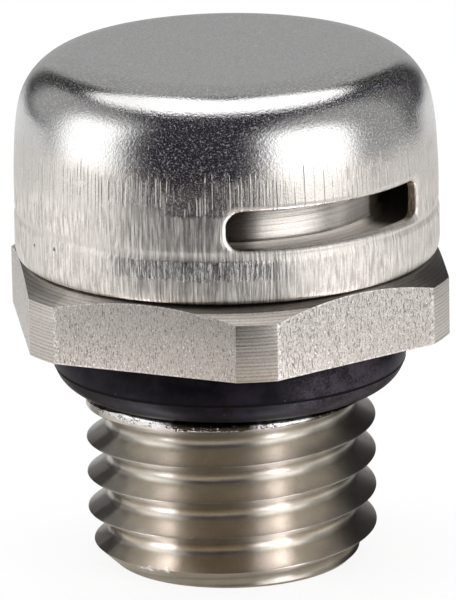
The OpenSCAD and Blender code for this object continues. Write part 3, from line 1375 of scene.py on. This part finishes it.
@dataclass
class DrawnCap:
    """The cap: drawn sheet with a rounded edge, a gripping band and two air slots."""

    band_r: float = 8.636
    top_z: float = 21.27
    wall: float = 0.45
    edge_r: float = 2.62
    edge_middle_r: float = 5.8
    band_top_z: float = 14.75
    waist_depth: float = 0.056
    rim: tuple[Ring, ...] = (
        (8.192, 13.3), (8.215, 13.19), (8.28, 13.09), (8.38, 13.01),
        (8.47, 12.98), (8.54, 13.03), (8.59, 13.14), (8.62, 13.3),
    )
    shoulder: tuple[Ring, ...] = ((0.0, -0.14), (-0.006, -0.08), (-0.02, -0.02))
    waist: tuple[Ring, ...] = (
        (0.026, 0.04), (0.009, 0.1), (0.002, 0.16), (0.004, 0.22), (0.014, 0.3), (0.028, 0.4),
    )
    side: tuple[Ring, ...] = (
        (8.61, 15.3), (8.61, 15.8), (8.603, 16.5), (8.583, 17.0),
        (8.556, 17.5), (8.532, 17.9), (8.5, 18.3), (8.446, 18.72),
    )
    slot_h: float = 1.6
    slot_bottom: float = 15.13
    slot_span: float = 64.0
    slot_corners: Span = (0.56, 0.3)
    slot_cuts: int = 48
    mouth: float = 0.24
    mouth_height: float = 0.1
    mouth_steps: tuple[Ring, ...] = (
        (1.0, 0.1), (0.85, 0.106), (0.25, 0.167), (0.06, 0.215), (0.0, 0.26), (0.0, 1.4),
    )
    slot_middles: Span = (-65.4, 114.6)
    steps: int = 320

    def wall_line(self, inset: float) -> list[Ring]:
        """Outline of the cap from the rim to the flat top, moved inwards.

        Args:
            inset: How far inwards, in mm.

        Returns:
            The rings from the rim up to the start of the flat top.
        """
        dip, top = self.band_r - self.waist_depth, self.band_top_z
        band = [(self.band_r, self.rim[-1][1] + 0.2)]
        band += [(self.band_r + out, top + up) for out, up in self.shoulder]
        band += [(dip + out, top + up) for out, up in self.waist]
        outline = [(radius - inset, z) for radius, z in (*band, *self.side)]
        centre = (self.edge_middle_r, self.top_z - self.edge_r)
        return outline + arc(centre, self.edge_r - inset, 9.5, 90, 24)

    def section(self) -> list[Ring]:
        """Half section of the sheet, from the ceiling round the rim to the outer top.

        Returns:
            The rings in order.
        """
        inner = self.wall_line(self.wall)
        outer = self.wall_line(0.0)
        centre_r, flat_r = 0.8, self.edge_middle_r - 0.15
        return (
            [(centre_r, inner[-1][1])]
            + [(flat_r, inner[-1][1]), *reversed(inner)]
            + list(self.rim)
            + outer
            + [(flat_r, outer[-1][1]), (centre_r, outer[-1][1])]
        )

    def slot_tool(self, middle: float) -> bpy.types.Object:
        """Shapes the punch for one air slot, with a mouth that rounds the slot's outer edge.

        Args:
            middle: Azimuth of the slot's middle in degrees.

        Returns:
            The closed cutting shape in mm.
        """
        mean_r = self.side[0][0]
        length = mean_r * math.radians(self.slot_span)
        mouth = self.mouth
        deselect_all()
        bpy.ops.mesh.primitive_plane_add(size=1.0)
        tool = bpy.context.active_object
        tool.scale = (length + 2 * mouth, self.slot_h + 2 * mouth, 1)
        tool.rotation_euler = (math.pi / 2, 0, 0)
        bpy.ops.object.transform_apply(location=True, rotation=True, scale=True)
        bpy.ops.object.mode_set(mode="EDIT")
        for end, corner_r in zip((-1, 1), self.slot_corners):
            choose_points(tool, lambda place: place.x * end > length / 2)
            bpy.ops.mesh.bevel(offset=corner_r + mouth, segments=10, affect="VERTICES")
        for i in range(1, self.slot_cuts):
            bpy.ops.mesh.select_all(action="SELECT")
            cut_at = ((i / self.slot_cuts - 0.5) * length, 0, 0)
            bpy.ops.mesh.bisect(plane_co=cut_at, plane_no=(1, 0, 0))
        bpy.ops.mesh.select_all(action="SELECT")
        flare, depth = mouth, 0.0
        for share, next_depth in self.mouth_steps:
            next_flare = share * mouth
            inward = {"value": (0, next_depth - depth, 0)}
            bpy.ops.mesh.extrude_region_move(TRANSFORM_OT_translate=inward)
            along = (length + 2 * next_flare) / (length + 2 * flare)
            across = (self.slot_h + 2 * next_flare) / (self.slot_h + 2 * flare)
            bpy.ops.transform.resize(value=(along, 1, across), center_override=(0, 0, 0))
            flare, depth = next_flare, next_depth
        bpy.ops.mesh.select_all(action="SELECT")
        bpy.ops.mesh.normals_make_consistent(inside=False)
        bpy.ops.object.mode_set(mode="OBJECT")
        lip_r = mean_r + self.mouth_height
        bend = tool.modifiers.new("bend", "SIMPLE_DEFORM")
        bend.deform_method = "BEND"
        bend.deform_axis = "Z"
        bend.angle = (length + 2 * mouth) / lip_r
        bpy.ops.object.modifier_apply(modifier=bend.name)
        turn = math.radians(middle)
        tool.rotation_euler = (0, 0, turn + math.pi / 2)
        middle_z = self.slot_bottom + self.slot_h / 2
        tool.location = (lip_r * math.cos(turn), lip_r * math.sin(turn), middle_z)
        bpy.ops.object.transform_apply(location=True, rotation=True, scale=False)
        return tool

    def build(self) -> list[bpy.types.Object]:
        """Draws the cap and punches its slots.

        Returns:
            The finished piece, as the only one.
        """
        piece = turn_solid("slotted_cap", self.section(), self.steps, ring_shaped=False)
        for middle in self.slot_middles:
            cut_with(piece, self.slot_tool(middle))
        finish_piece(piece, smooth_angle=40.0)
        self.dress(piece)
        hand_over(piece, "cap")
        return [piece]

    def dress(self, piece: bpy.types.Object) -> None:
        """Gives the sheet and the punched edges their finishes.

        Args:
            piece: The finished piece, in metres.
        """
        piece.data.materials.append(DrawnSteel().material())
        piece.data.materials.append(PunchedSteel().material())
        inner, outer = self.side[0][0] - self.wall + 0.02, self.side[0][0] - 0.14
        for face in piece.data.polygons:
            x, y, z = face.center / MM
            in_slot = self.slot_bottom - 0.1 < z < self.slot_bottom + self.slot_h + 0.1
            if in_slot and inner < math.hypot(x, y) < outer:
                face.material_index = 1


@dataclass
class ORing:
    """The O-ring under the hexagon, with its moulded parting line."""

    middle_r: float = 5.92
    middle_z: float = 8.68
    section_r: float = 1.3
    seam_angle: float = -14.0
    seam_half: float = 2.1
    seam_proud: float = 0.02
    section_steps: int = 90
    steps: int = 240

    def on_seam(self, place: Vector) -> bool:
        """True if a point of the section lies on the parting line."""
        angle = math.degrees(math.atan2(place.z - self.middle_z, place.x - self.middle_r))
        return abs(angle - self.seam_angle) < self.seam_half

    def build(self) -> list[bpy.types.Object]:
        """Moulds the ring.

        Returns:
            The finished piece, as the only one.
        """
        deselect_all()
        bpy.ops.mesh.primitive_circle_add(
            vertices=self.section_steps,
            radius=self.section_r,
            location=(self.middle_r, 0, self.middle_z),
            rotation=(math.pi / 2, 0, 0),
        )
        piece = bpy.context.active_object
        piece.name = "sealing_ring"
        bpy.ops.object.transform_apply(location=True, rotation=True, scale=False)
        seam = math.radians(self.seam_angle)
        bpy.ops.object.mode_set(mode="EDIT")
        choose_points(piece, self.on_seam)
        lift = (self.seam_proud * math.cos(seam), 0, self.seam_proud * math.sin(seam))
        bpy.ops.transform.translate(value=lift)
        bpy.ops.mesh.select_all(action="SELECT")
        bpy.ops.mesh.spin(steps=self.steps, angle=math.tau, center=(0, 0, 0), axis=(0, 0, 1))
        bpy.ops.mesh.select_all(action="SELECT")
        bpy.ops.mesh.remove_doubles(threshold=0.001)
        bpy.ops.object.mode_set(mode="OBJECT")
        finish_piece(piece, smooth_angle=60.0)
        seam_z = self.middle_z + self.section_r * math.sin(seam)
        piece.data.materials.append(Rubber("ring_rubber", seam_z=seam_z).material())
        hand_over(piece, "o_ring")
        return [piece]


@dataclass
class MembranePack:
    """The membrane, the flat seal under it and the ring that clamps them."""

    seal_z: float = 16.2
    membrane_z: float = 16.6
    ring_z: float = 16.9
    ring_top: float = 18.1
    disc_r: float = 4.8
    ring_r: float = 4.89
    hole_r: float = 3.7
    ring_chamfer: float = 0.25
    steps: int = 160

    def washer(self, name: str, low: float, high: float, outer: float, chamfer: float) -> bpy.types.Object:
        """Turns a flat ring.

        Args:
            name: Name of the piece.
            low: Height of its underside in mm.
            high: Height of its upper side in mm.
            outer: Its outer radius in mm.
            chamfer: Chamfer on its upper inner edge in mm.

        Returns:
            The piece, still in mm.
        """
        rings = [
            (self.hole_r, low),
            (outer, low),
            (outer, high),
            (self.hole_r + chamfer, high),
            (self.hole_r, high - chamfer),
        ]
        piece = turn_solid(name, rings, self.steps, ring_shaped=True)
        soften_edges(piece, width=0.03, angle=30)
        return piece

    def build(self) -> list[bpy.types.Object]:
        """Makes the three pieces.

        Returns:
            The seal, the membrane and the ring.
        """
        seal = self.washer("flat_seal", self.seal_z, self.membrane_z, self.disc_r, 0.02)
        finish_piece(seal)
        seal.data.materials.append(Rubber("seal_rubber", light=0.03, roughness=0.6).material())
        hand_over(seal, "membrane_seal")

        rings = [(self.disc_r, self.membrane_z), (self.disc_r, self.ring_z)]
        membrane = turn_solid("membrane_disc", rings, self.steps, ring_shaped=False)
        soften_edges(membrane, width=0.02, angle=30)
        finish_piece(membrane)
        membrane.data.materials.append(MembraneFilm().material())
        hand_over(membrane, "membrane")

        ring = self.washer("clamp_ring", self.ring_z, self.ring_top, self.ring_r, self.ring_chamfer)
        finish_piece(ring)
        ring.data.materials.append(TurnedSteel().material())
        hand_over(ring, "retaining_ring")
        return [seal, membrane, ring]


# Stage


@dataclass(frozen=True)
class SoftBox:
    """A lamp. Metal sees a light card in its place."""

    name: str
    place: tuple[float, float, float]
    aim_z: float
    size: Span
    power: float


@dataclass(frozen=True)
class LightCard:
    """An upright light card whose edges fade out.

    The bright middle and the whole card are given as half widths, and the lower and upper edge by the
    heights between which they fade, in mm.
    """

    name: str
    azimuth: float
    reach: float
    half: Span
    foot: Span
    rise: Span
    light: float


@dataclass(frozen=True)
class Screen:
    """A flat board whose corners are given as directions from the plug, in degrees.

    A mirrored screen gives the corners of one half, as degrees off the line behind the plug, and the
    elevation of its top corner.
    """

    name: str
    facing: float
    distance: float
    light: float
    corners: tuple[Span, ...]
    mirrored_top: float | None = None

    def outline(self) -> list[Span]:
        """Azimuth and elevation of each corner, in order round the screen."""
        if self.mirrored_top is None:
            return list(self.corners)
        left = [(self.facing - off, rise) for off, rise in self.corners]
        right = [(self.facing + off, rise) for off, rise in reversed(self.corners)]
        return [*left, (self.facing, self.mirrored_top), *right]


@dataclass(frozen=True)
class Pool:
    """A pool of light on the floor beside the thread.

    It starts at an azimuth and a distance from the axis, runs the way that its heading says, and its half
    width in mm grows by the spread for each mm of its length.
    """

    name: str
    start: Span
    heading: float
    length: float
    half: float
    spread: float
    light: float


@dataclass
class Studio:
    """Floor, lamps, reflector boards and camera, placed round the plug from the camera's side."""

    turn: float = -6.588
    elevation: float = 16.088
    distance: float = 266.8
    roll: float = 1.136
    aim_z: float = 10.72
    aim_side: float = -0.023
    focal_px: float = 6545.5
    eye_z: float = 18.0
    floor_in_view: float = 0.88
    # how bright metal sees the floor in front near the plug, to the sides, far off and at the foot; the dim
    # values are painted shadow
    floor_in_metal: tuple[float, float, float, float] = (0.245, 1.0, 0.84, 0.42)
    floor_behind: Span = (0.1, 0.8)
    floor_beside: float = 1.08
    floor_front: Colour = (1.38, 1.0, 0.52, 1.0)
    floor_side: Colour = (1.1, 1.0, 0.88, 1.0)
    floor_foot: Span = (6.2, 7.4)
    floor_away: Span = (9.0, 28.0)
    front_sector: Span = (18.0, 40.0)
    near_sector: Span = (94.0, 14.0)
    side_sector: Span = (105.0, 25.0)
    back_sector: Sector = (205.0, 13.0, 12.0)
    flag_reach: float = 34.0
    flag_rise: Span = (0.3, 60.0)
    flag_left: Span = (-60.0, -36.0)
    flag_right: Span = (8.0, 33.0)
    flag_foot: Span = (1.0, 9.0)
    flag_light: float = 0.035
    dark_tint: float = -0.22
    tent_radius_m: float = 0.6
    tent_light: float = 0.045
    floor_radius_m: float = 1.2
    pool_tint: float = -0.06
    air_light: float = 0.55
    overhead: tuple[float, float, float, float] = (-14.0, 99.0, 157.0, 240.0)
    overhead_light: float = 2.2
    overhead_corners: int = 48
    picture_long_px: float = 600.0
    boxes: tuple[SoftBox, ...] = (
        SoftBox("left_box", (-79.0, 75.0, 26.0), 15.0, (44.0, 42.0), 0.03),
        SoftBox("right_box", (45.0, 75.0, 26.0), 15.0, (56.0, 42.0), 0.035),
        SoftBox("top_box", (180.0, 72.0, 215.0), 0.0, (240.0, 140.0), 0.36),
    )
    cards: tuple[LightCard, ...] = (
        LightCard("left_card", -76.0, 60.0, (7.0, 35.0), (3.0, 13.0), (44.0, 70.0), 2.0),
        LightCard("right_card", 42.0, 55.0, (13.0, 38.0), (3.0, 13.0), (36.0, 66.0), 2.4),
    )
    pools: tuple[Pool, ...] = (
        Pool("left_flank_pool", (-45.0, 6.67), -74.0, 9.0, 0.6, 0.2, 5.4),
        Pool("right_flank_pool", (19.0, 6.2), 43.0, 9.0, 0.8, 0.2, 4.6),
        Pool("left_root_pool", (-40.8, 6.42), -66.0, 11.0, 0.42, 0.08, 11.0),
        Pool("right_root_pool", (27.1, 6.24), 45.0, 15.0, 0.5, 0.1, 14.0),
    )
    screens: tuple[Screen, ...] = (
        Screen("left_grey", -95.0, 100.0, 0.44, (
            (-46, -9), (-46, 40), (-62, 48), (-85, 50), (-105, 46), (-122, 40), (-134, 33),
            (-140, 26), (-142, 15), (-140, 5), (-120, 3), (-112, -4), (-108, -9),
        )),
        Screen("left_lobe", -112.0, 92.0, 1.5, (
            (-153, 62), (-143, 50), (-130, 48), (-118, 51), (-104, 54), (-90, 58), (-78, 63),
            (-66, 70), (-150, 73),
        )),
        Screen("right_grey", 68.0, 100.0, 0.42, (
            (22, -9), (22, 40), (40, 50), (60, 54), (88, 51), (106, 43), (114, 25), (114, -8),
        )),
        Screen("right_faint", 110.0, 104.0, 0.15, (
            (112, -8), (112, 28), (104, 46), (122, 42), (131, 25), (131, -8),
        )),
        Screen("back_grey", 180.0, 44.0, 0.43, (
            (26, -8), (28, 15), (32, 35), (38, 50), (34, 62), (26, 67),
        ), 69.0),
        Screen("back_dark", 180.0, 50.0, 0.04, (
            (36, 0), (45, 30), (50, 45), (42, 55), (30, 68), (15, 74),
        ), 77.5),
    )

    def spot(self, azimuth: float, reach: float, height: float) -> Vector:
        """A place given by its direction from the plug.

        Args:
            azimuth: Degrees to the right of the camera, seen from the plug.
            reach: Distance from the axis in mm.
            height: Height above the floor in mm.

        Returns:
            The place in metres.
        """
        angle = math.radians(azimuth + self.turn - 90)
        return Vector((reach * math.cos(angle), reach * math.sin(angle), height)) * MM

    def camera(self) -> bpy.types.Object:
        """Sets the camera as the picture was taken.

        Returns:
            The camera.
        """
        tilt = math.radians(self.elevation)
        back = (self.spot(0, math.cos(tilt) / MM, math.sin(tilt) / MM)).normalized()
        right = Vector((0, 0, 1)).cross(back).normalized()
        up = back.cross(right)
        lean = math.radians(self.roll)
        right, up = (
            right * math.cos(lean) - up * math.sin(lean),
            right * math.sin(lean) + up * math.cos(lean),
        )
        data = bpy.data.cameras.new("camera")
        data.sensor_fit = "AUTO"
        data.sensor_width = 36.0
        data.lens = self.focal_px / self.picture_long_px * data.sensor_width
        data.clip_start = 0.01
        data.clip_end = 10.0
        camera = bpy.data.objects.new("camera", data)
        bpy.context.collection.objects.link(camera)
        place = Vector((0, 0, self.aim_z * MM)) + back * self.distance * MM + right * self.aim_side * MM
        turned = Matrix((right, up, back)).transposed().to_4x4()
        camera.matrix_world = Matrix.Translation(place) @ turned
        bpy.context.scene.camera = camera
        return camera

    def lamp(self, box: SoftBox) -> None:
        """Hangs a soft box.

        Args:
            box: The lamp, with its place as azimuth, distance and height.
        """
        data = bpy.data.lights.new(box.name, "AREA")
        data.shape = "RECTANGLE"
        data.size, data.size_y = box.size[0] * MM, box.size[1] * MM
        data.energy = box.power
        lamp = bpy.data.objects.new(box.name, data)
        bpy.context.collection.objects.link(lamp)
        lamp.location = self.spot(*box.place)
        aim = Vector((0, 0, box.aim_z * MM))
        lamp.rotation_euler = (lamp.location - aim).to_track_quat("Z", "Y").to_euler()
        lamp.visible_camera = False
        lamp.visible_glossy = False

    def board(self, name: str, corners: Iterable[Vector], paint: bpy.types.Material) -> bpy.types.Object:
        """Stands up a board that shows only in reflections.

        Args:
            name: Name of the board.
            corners: Its corners in metres, in order round it.
            paint: Its material.

        Returns:
            The board.
        """
        mesh = bpy.data.meshes.new(name)
        sheet = bmesh.new()
        sheet.faces.new([sheet.verts.new(corner) for corner in corners])
        sheet.to_mesh(mesh)
        sheet.free()
        board = bpy.data.objects.new(name, mesh)
        bpy.context.collection.objects.link(board)
        board.data.materials.append(paint)
        self.only_in_reflections(board)
        return board

    def screen(self, screen: Screen) -> None:
        """Hangs a flat board where the plug sees its outline.

        Args:
            screen: The board.
        """
        corners = []
        for azimuth, elevation in screen.outline():
            reach = screen.distance / math.cos(math.radians(azimuth - screen.facing))
            height = self.eye_z + reach * math.tan(math.radians(elevation))
            corners.append(self.spot(azimuth, reach, height))
        self.board(screen.name, corners, self.glow(screen.name, screen.light))

    def see_through(self, paint: Board, mask: Socket, light: float, tint: float = 0.0) -> None:
        """Makes a glowing paint that is there only where a mask is.

        Args:
            paint: The board of a new material.
            mask: 1 where the paint glows, 0 where it is clear.
            light: How light it looks, where 1 is white.
            tint: How warm it looks.
        """
        nodes, links = paint.nodes, paint.links
        nodes.remove(paint.shader)
        emission = nodes.new("ShaderNodeEmission")
        emission.inputs["Color"].default_value = self.tinted(tint)
        emission.inputs["Strength"].default_value = light
        clear = nodes.new("ShaderNodeBsdfTransparent")
        mix = nodes.new("ShaderNodeMixShader")
        links.new(mask, mix.inputs[0])
        links.new(clear.outputs[0], mix.inputs[1])
        links.new(emission.outputs[0], mix.inputs[2])
        links.new(mix.outputs[0], paint.output.inputs["Surface"])

    def stand(self, piece: bpy.types.Object, place: Vector, across: Vector, along: Vector) -> None:
        """Turns a board and puts it in its place.

        Args:
            piece: The board, made flat with its foot at the origin.
            place: Where its foot's middle goes, in metres.
            across: The way that its X points.
            along: The way that its Y points.
        """
        turned = Matrix((across, along, across.cross(along))).transposed().to_4x4()
        piece.matrix_world = Matrix.Translation(place) @ turned

    def card(self, card: LightCard) -> None:
        """Stands up a light card whose edges fade out.

        Args:
            card: The card.
        """
        paint = Board(card.name)
        aside = paint.ease(paint.maths("ABSOLUTE", paint.x), *card.half, Side.BELOW)
        upright = paint.times(paint.ease(paint.y, *card.foot), paint.ease(paint.y, *card.rise, Side.BELOW))
        self.see_through(paint, paint.times(aside, upright), card.light)
        wide, tall = card.half[1] * MM, card.rise[1] * MM
        outline = ((-wide, 2 * MM), (wide, 2 * MM), (wide, tall), (-wide, tall))
        board = self.board(card.name, [Vector((x, y, 0)) for x, y in outline], paint.material)
        outward, upward = self.spot(card.azimuth, 1, 0).normalized(), Vector((0, 0, 1))
        self.stand(board, self.spot(card.azimuth, card.reach, 0), upward.cross(outward), upward)

    def front_flag(self) -> None:
        """Rolls a dark screen round the camera's side of the plug, with soft ends and a soft foot."""
        deselect_all()
        low, high = self.flag_rise
        bpy.ops.mesh.primitive_cylinder_add(
            vertices=128,
            radius=self.flag_reach * MM,
            depth=(high - low) * MM,
            end_fill_type="NOTHING",
            location=(0, 0, (low + high) / 2 * MM),
        )
        flag = bpy.context.active_object
        flag.name = "front_flag"
        bpy.ops.object.transform_apply(location=True, rotation=False, scale=False)
        flag.rotation_euler = (0, 0, math.radians(self.turn))
        paint = Board("front_flag")
        azimuth = paint.maths("ARCTAN2", paint.x, paint.times(paint.y, -1.0))
        azimuth = paint.times(azimuth, math.degrees(1))
        mask = paint.times(
            paint.ease(azimuth, *self.flag_left),
            paint.ease(azimuth, *self.flag_right, Side.BELOW),
            paint.ease(paint.z, *self.flag_foot),
        )
        self.see_through(paint, mask, self.flag_light, self.dark_tint)
        flag.data.materials.append(paint.material)
        self.only_in_reflections(flag)

    def pool(self, pool: Pool) -> None:
        """Lays a pool of light on the floor beside the thread, with soft edges.

        Args:
            pool: The pool.
        """
        paint = Board(pool.name)
        width = paint.plus(pool.half, paint.times(paint.y, pool.spread))
        aside = paint.maths("DIVIDE", paint.maths("ABSOLUTE", paint.x), width)
        soft = 1.8
        along = paint.ease(paint.y, 0.5 * pool.length, pool.length, Side.BELOW)
        mask = paint.times(paint.ease(aside, 0.4, soft, Side.BELOW), along)
        self.see_through(paint, mask, pool.light, self.pool_tint)
        near, far = pool.half * soft, (pool.half + pool.spread * pool.length) * soft
        outline = ((-near, 0), (near, 0), (far, pool.length), (-far, pool.length))
        board = self.board(pool.name, [Vector((x, y, 0)) * MM for x, y in outline], paint.material)
        onward, upward = self.spot(pool.heading, 1, 0).normalized(), Vector((0, 0, 1))
        self.stand(board, self.spot(*pool.start, 0.05), onward.cross(upward), onward)

    def only_in_reflections(self, board: bpy.types.Object) -> None:
        """Hides a board from all but reflected rays, and keeps it out of the object."""
        board.visible_camera = False
        board.visible_diffuse = False
        board.visible_transmission = False
        board.visible_shadow = False

    def glow(self, name: str, light: float, tint: float = 0.0) -> bpy.types.Material:
        """A plain glowing paint.

        Args:
            name: Name of the material.
            light: Its strength, where 1 is white.
            tint: How warm it looks.

        Returns:
            The material.
        """
        paint = bpy.data.materials.new(name)
        paint.use_nodes = True
        nodes = paint.node_tree.nodes
        nodes.clear()
        emission = nodes.new("ShaderNodeEmission")
        emission.inputs["Color"].default_value = self.tinted(tint)
        emission.inputs["Strength"].default_value = light
        output = nodes.new("ShaderNodeOutputMaterial")
        paint.node_tree.links.new(emission.outputs[0], output.inputs["Surface"])
        return paint

    def tinted(self, tint: float) -> Colour:
        """A white that leans to warm, or to violet.

        Args:
            tint: Above 0 for warm, below for violet.

        Returns:
            The colour.
        """
        red, green, blue, alpha = shade(1.0, tint)
        return (red - min(tint, 0), green + 0.6 * min(tint, 0), blue, alpha)

    def tent(self) -> None:
        """Puts a dim dome over the stage, seen only in reflections."""
        deselect_all()
        bpy.ops.mesh.primitive_uv_sphere_add(segments=48, ring_count=24, radius=self.tent_radius_m)
        tent = bpy.context.active_object
        tent.name = "tent"
        tent.data.materials.append(self.glow("tent", self.tent_light, self.dark_tint))
        self.only_in_reflections(tent)

    def floor(self) -> None:
        """Lays the pale floor. What metal sees of it is painted: dimmer near the plug, most of all in front
        and behind it, as painted shadow, tinted warm in front, and brighter beside it.
        """
        deselect_all()
        bpy.ops.mesh.primitive_circle_add(vertices=96, radius=self.floor_radius_m, fill_type="NGON")
        floor = bpy.context.active_object
        floor.name = "floor"
        paint = Board("floor")
        nodes, links = paint.nodes, paint.links
        plain = nodes.new("ShaderNodeBsdfDiffuse")
        plain.inputs["Color"].default_value = shade(0.86)
        rays = nodes.new("ShaderNodeLightPath")
        in_metal = rays.outputs["Is Glossy Ray"]
        in_view = paint.most(rays.outputs["Is Camera Ray"], rays.outputs["Is Transmission Ray"])
        white = nodes.new("ShaderNodeEmission")
        # Painted shadow: as metal sees it, the floor is dimmer near the plug, most of all in front and behind
        # it, and tinted warm in front.
        front, side, far, foot = self.floor_in_metal
        facing = self.turn - 90
        aside = paint.minus(1.0, paint.sector(facing, *self.front_sector))
        away = paint.ease(paint.radius, *self.floor_away)
        past_foot = paint.ease(paint.radius, *self.floor_foot)
        near = paint.between(past_foot, foot, paint.between(aside, front, side))
        behind, patch = self.floor_behind
        near = paint.between(paint.sector(facing, *self.near_sector), behind, near)
        azimuth, *span = self.back_sector
        near = paint.between(paint.sector(facing + azimuth, *span), near, patch)
        beside = paint.times(aside, paint.sector(facing, *self.side_sector))
        dimmed = paint.between(away, near, paint.between(beside, far, self.floor_beside))
        paint.feed(white.inputs["Strength"], paint.between(in_metal, 1.0, dimmed))
        tone = paint.blend(aside, self.floor_front, self.floor_side)
        tone = paint.blend(past_foot, self.floor_side, tone)
        tone = paint.blend(away, tone, shade(1.0))
        paint.feed(white.inputs["Color"], paint.blend(in_metal, shade(1.0), tone))
        mix = nodes.new("ShaderNodeMixShader")
        glowing = paint.most(paint.times(in_view, self.floor_in_view), in_metal)
        paint.feed(mix.inputs[0], glowing)
        links.new(plain.outputs[0], mix.inputs[1])
        links.new(white.outputs[0], mix.inputs[2])
        links.new(mix.outputs[0], paint.output.inputs["Surface"])
        nodes.remove(paint.shader)
        floor.data.materials.append(paint.material)

    def world(self) -> None:
        """Lights the air: white where it is seen, softer where it only lights."""
        world = bpy.data.worlds.new("studio_air")
        bpy.context.scene.world = world
        world.use_nodes = True
        nodes, links = world.node_tree.nodes, world.node_tree.links
        nodes.clear()
        rays = nodes.new("ShaderNodeLightPath")
        seen = nodes.new("ShaderNodeMath")
        seen.operation = "MAXIMUM"
        through = nodes.new("ShaderNodeMath")
        through.operation = "MAXIMUM"
        links.new(rays.outputs["Is Camera Ray"], seen.inputs[0])
        links.new(rays.outputs["Is Glossy Ray"], seen.inputs[1])
        links.new(seen.outputs[0], through.inputs[0])
        links.new(rays.outputs["Is Transmission Ray"], through.inputs[1])
        strength = nodes.new("ShaderNodeMapRange")
        strength.inputs["To Min"].default_value = self.air_light
        strength.inputs["To Max"].default_value = 1.0
        links.new(through.outputs[0], strength.inputs["Value"])
        air = nodes.new("ShaderNodeBackground")
        air.inputs["Color"].default_value = shade(1.0)
        links.new(strength.outputs["Result"], air.inputs["Strength"])
        output = nodes.new("ShaderNodeOutputWorld")
        links.new(air.outputs[0], output.inputs["Surface"])

    def hang_overhead(self) -> None:
        """Hangs the round board that the cap's top edge mirrors."""
        shift, centre, radius, height = self.overhead
        rim = []
        for i in range(self.overhead_corners):
            turned = math.tau * i / self.overhead_corners
            across, behind = shift + radius * math.sin(turned), centre - radius * math.cos(turned)
            azimuth = math.degrees(math.atan2(across, -behind))
            rim.append(self.spot(azimuth, math.hypot(across, behind), height))
        self.board("overhead", rim, self.glow("overhead", self.overhead_light))

    def build(self) -> None:
        """Sets the whole stage."""
        self.camera()
        self.floor()
        self.world()
        self.tent()
        for box in self.boxes:
            self.lamp(box)
        self.front_flag()
        for card in self.cards:
            self.card(card)
        for pool in self.pools:
            self.pool(pool)
        for screen in self.screens:
            self.screen(screen)
        self.hang_overhead()
        log.info("stage set")


def main() -> None:
    """Builds the stage and every piece of the plug, and reports each piece."""
    logging.basicConfig(level=logging.INFO, format="%(message)s")
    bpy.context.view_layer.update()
    Studio().build()
    for assembly in (TurnedBody(), DrawnCap(), ORing(), MembranePack()):
        for piece in assembly.build():
            log.info("%s: %d faces", piece.name, len(piece.data.polygons))
    bpy.context.scene.view_settings.view_transform = "Standard"


if __name__ == "__main__":
    main()
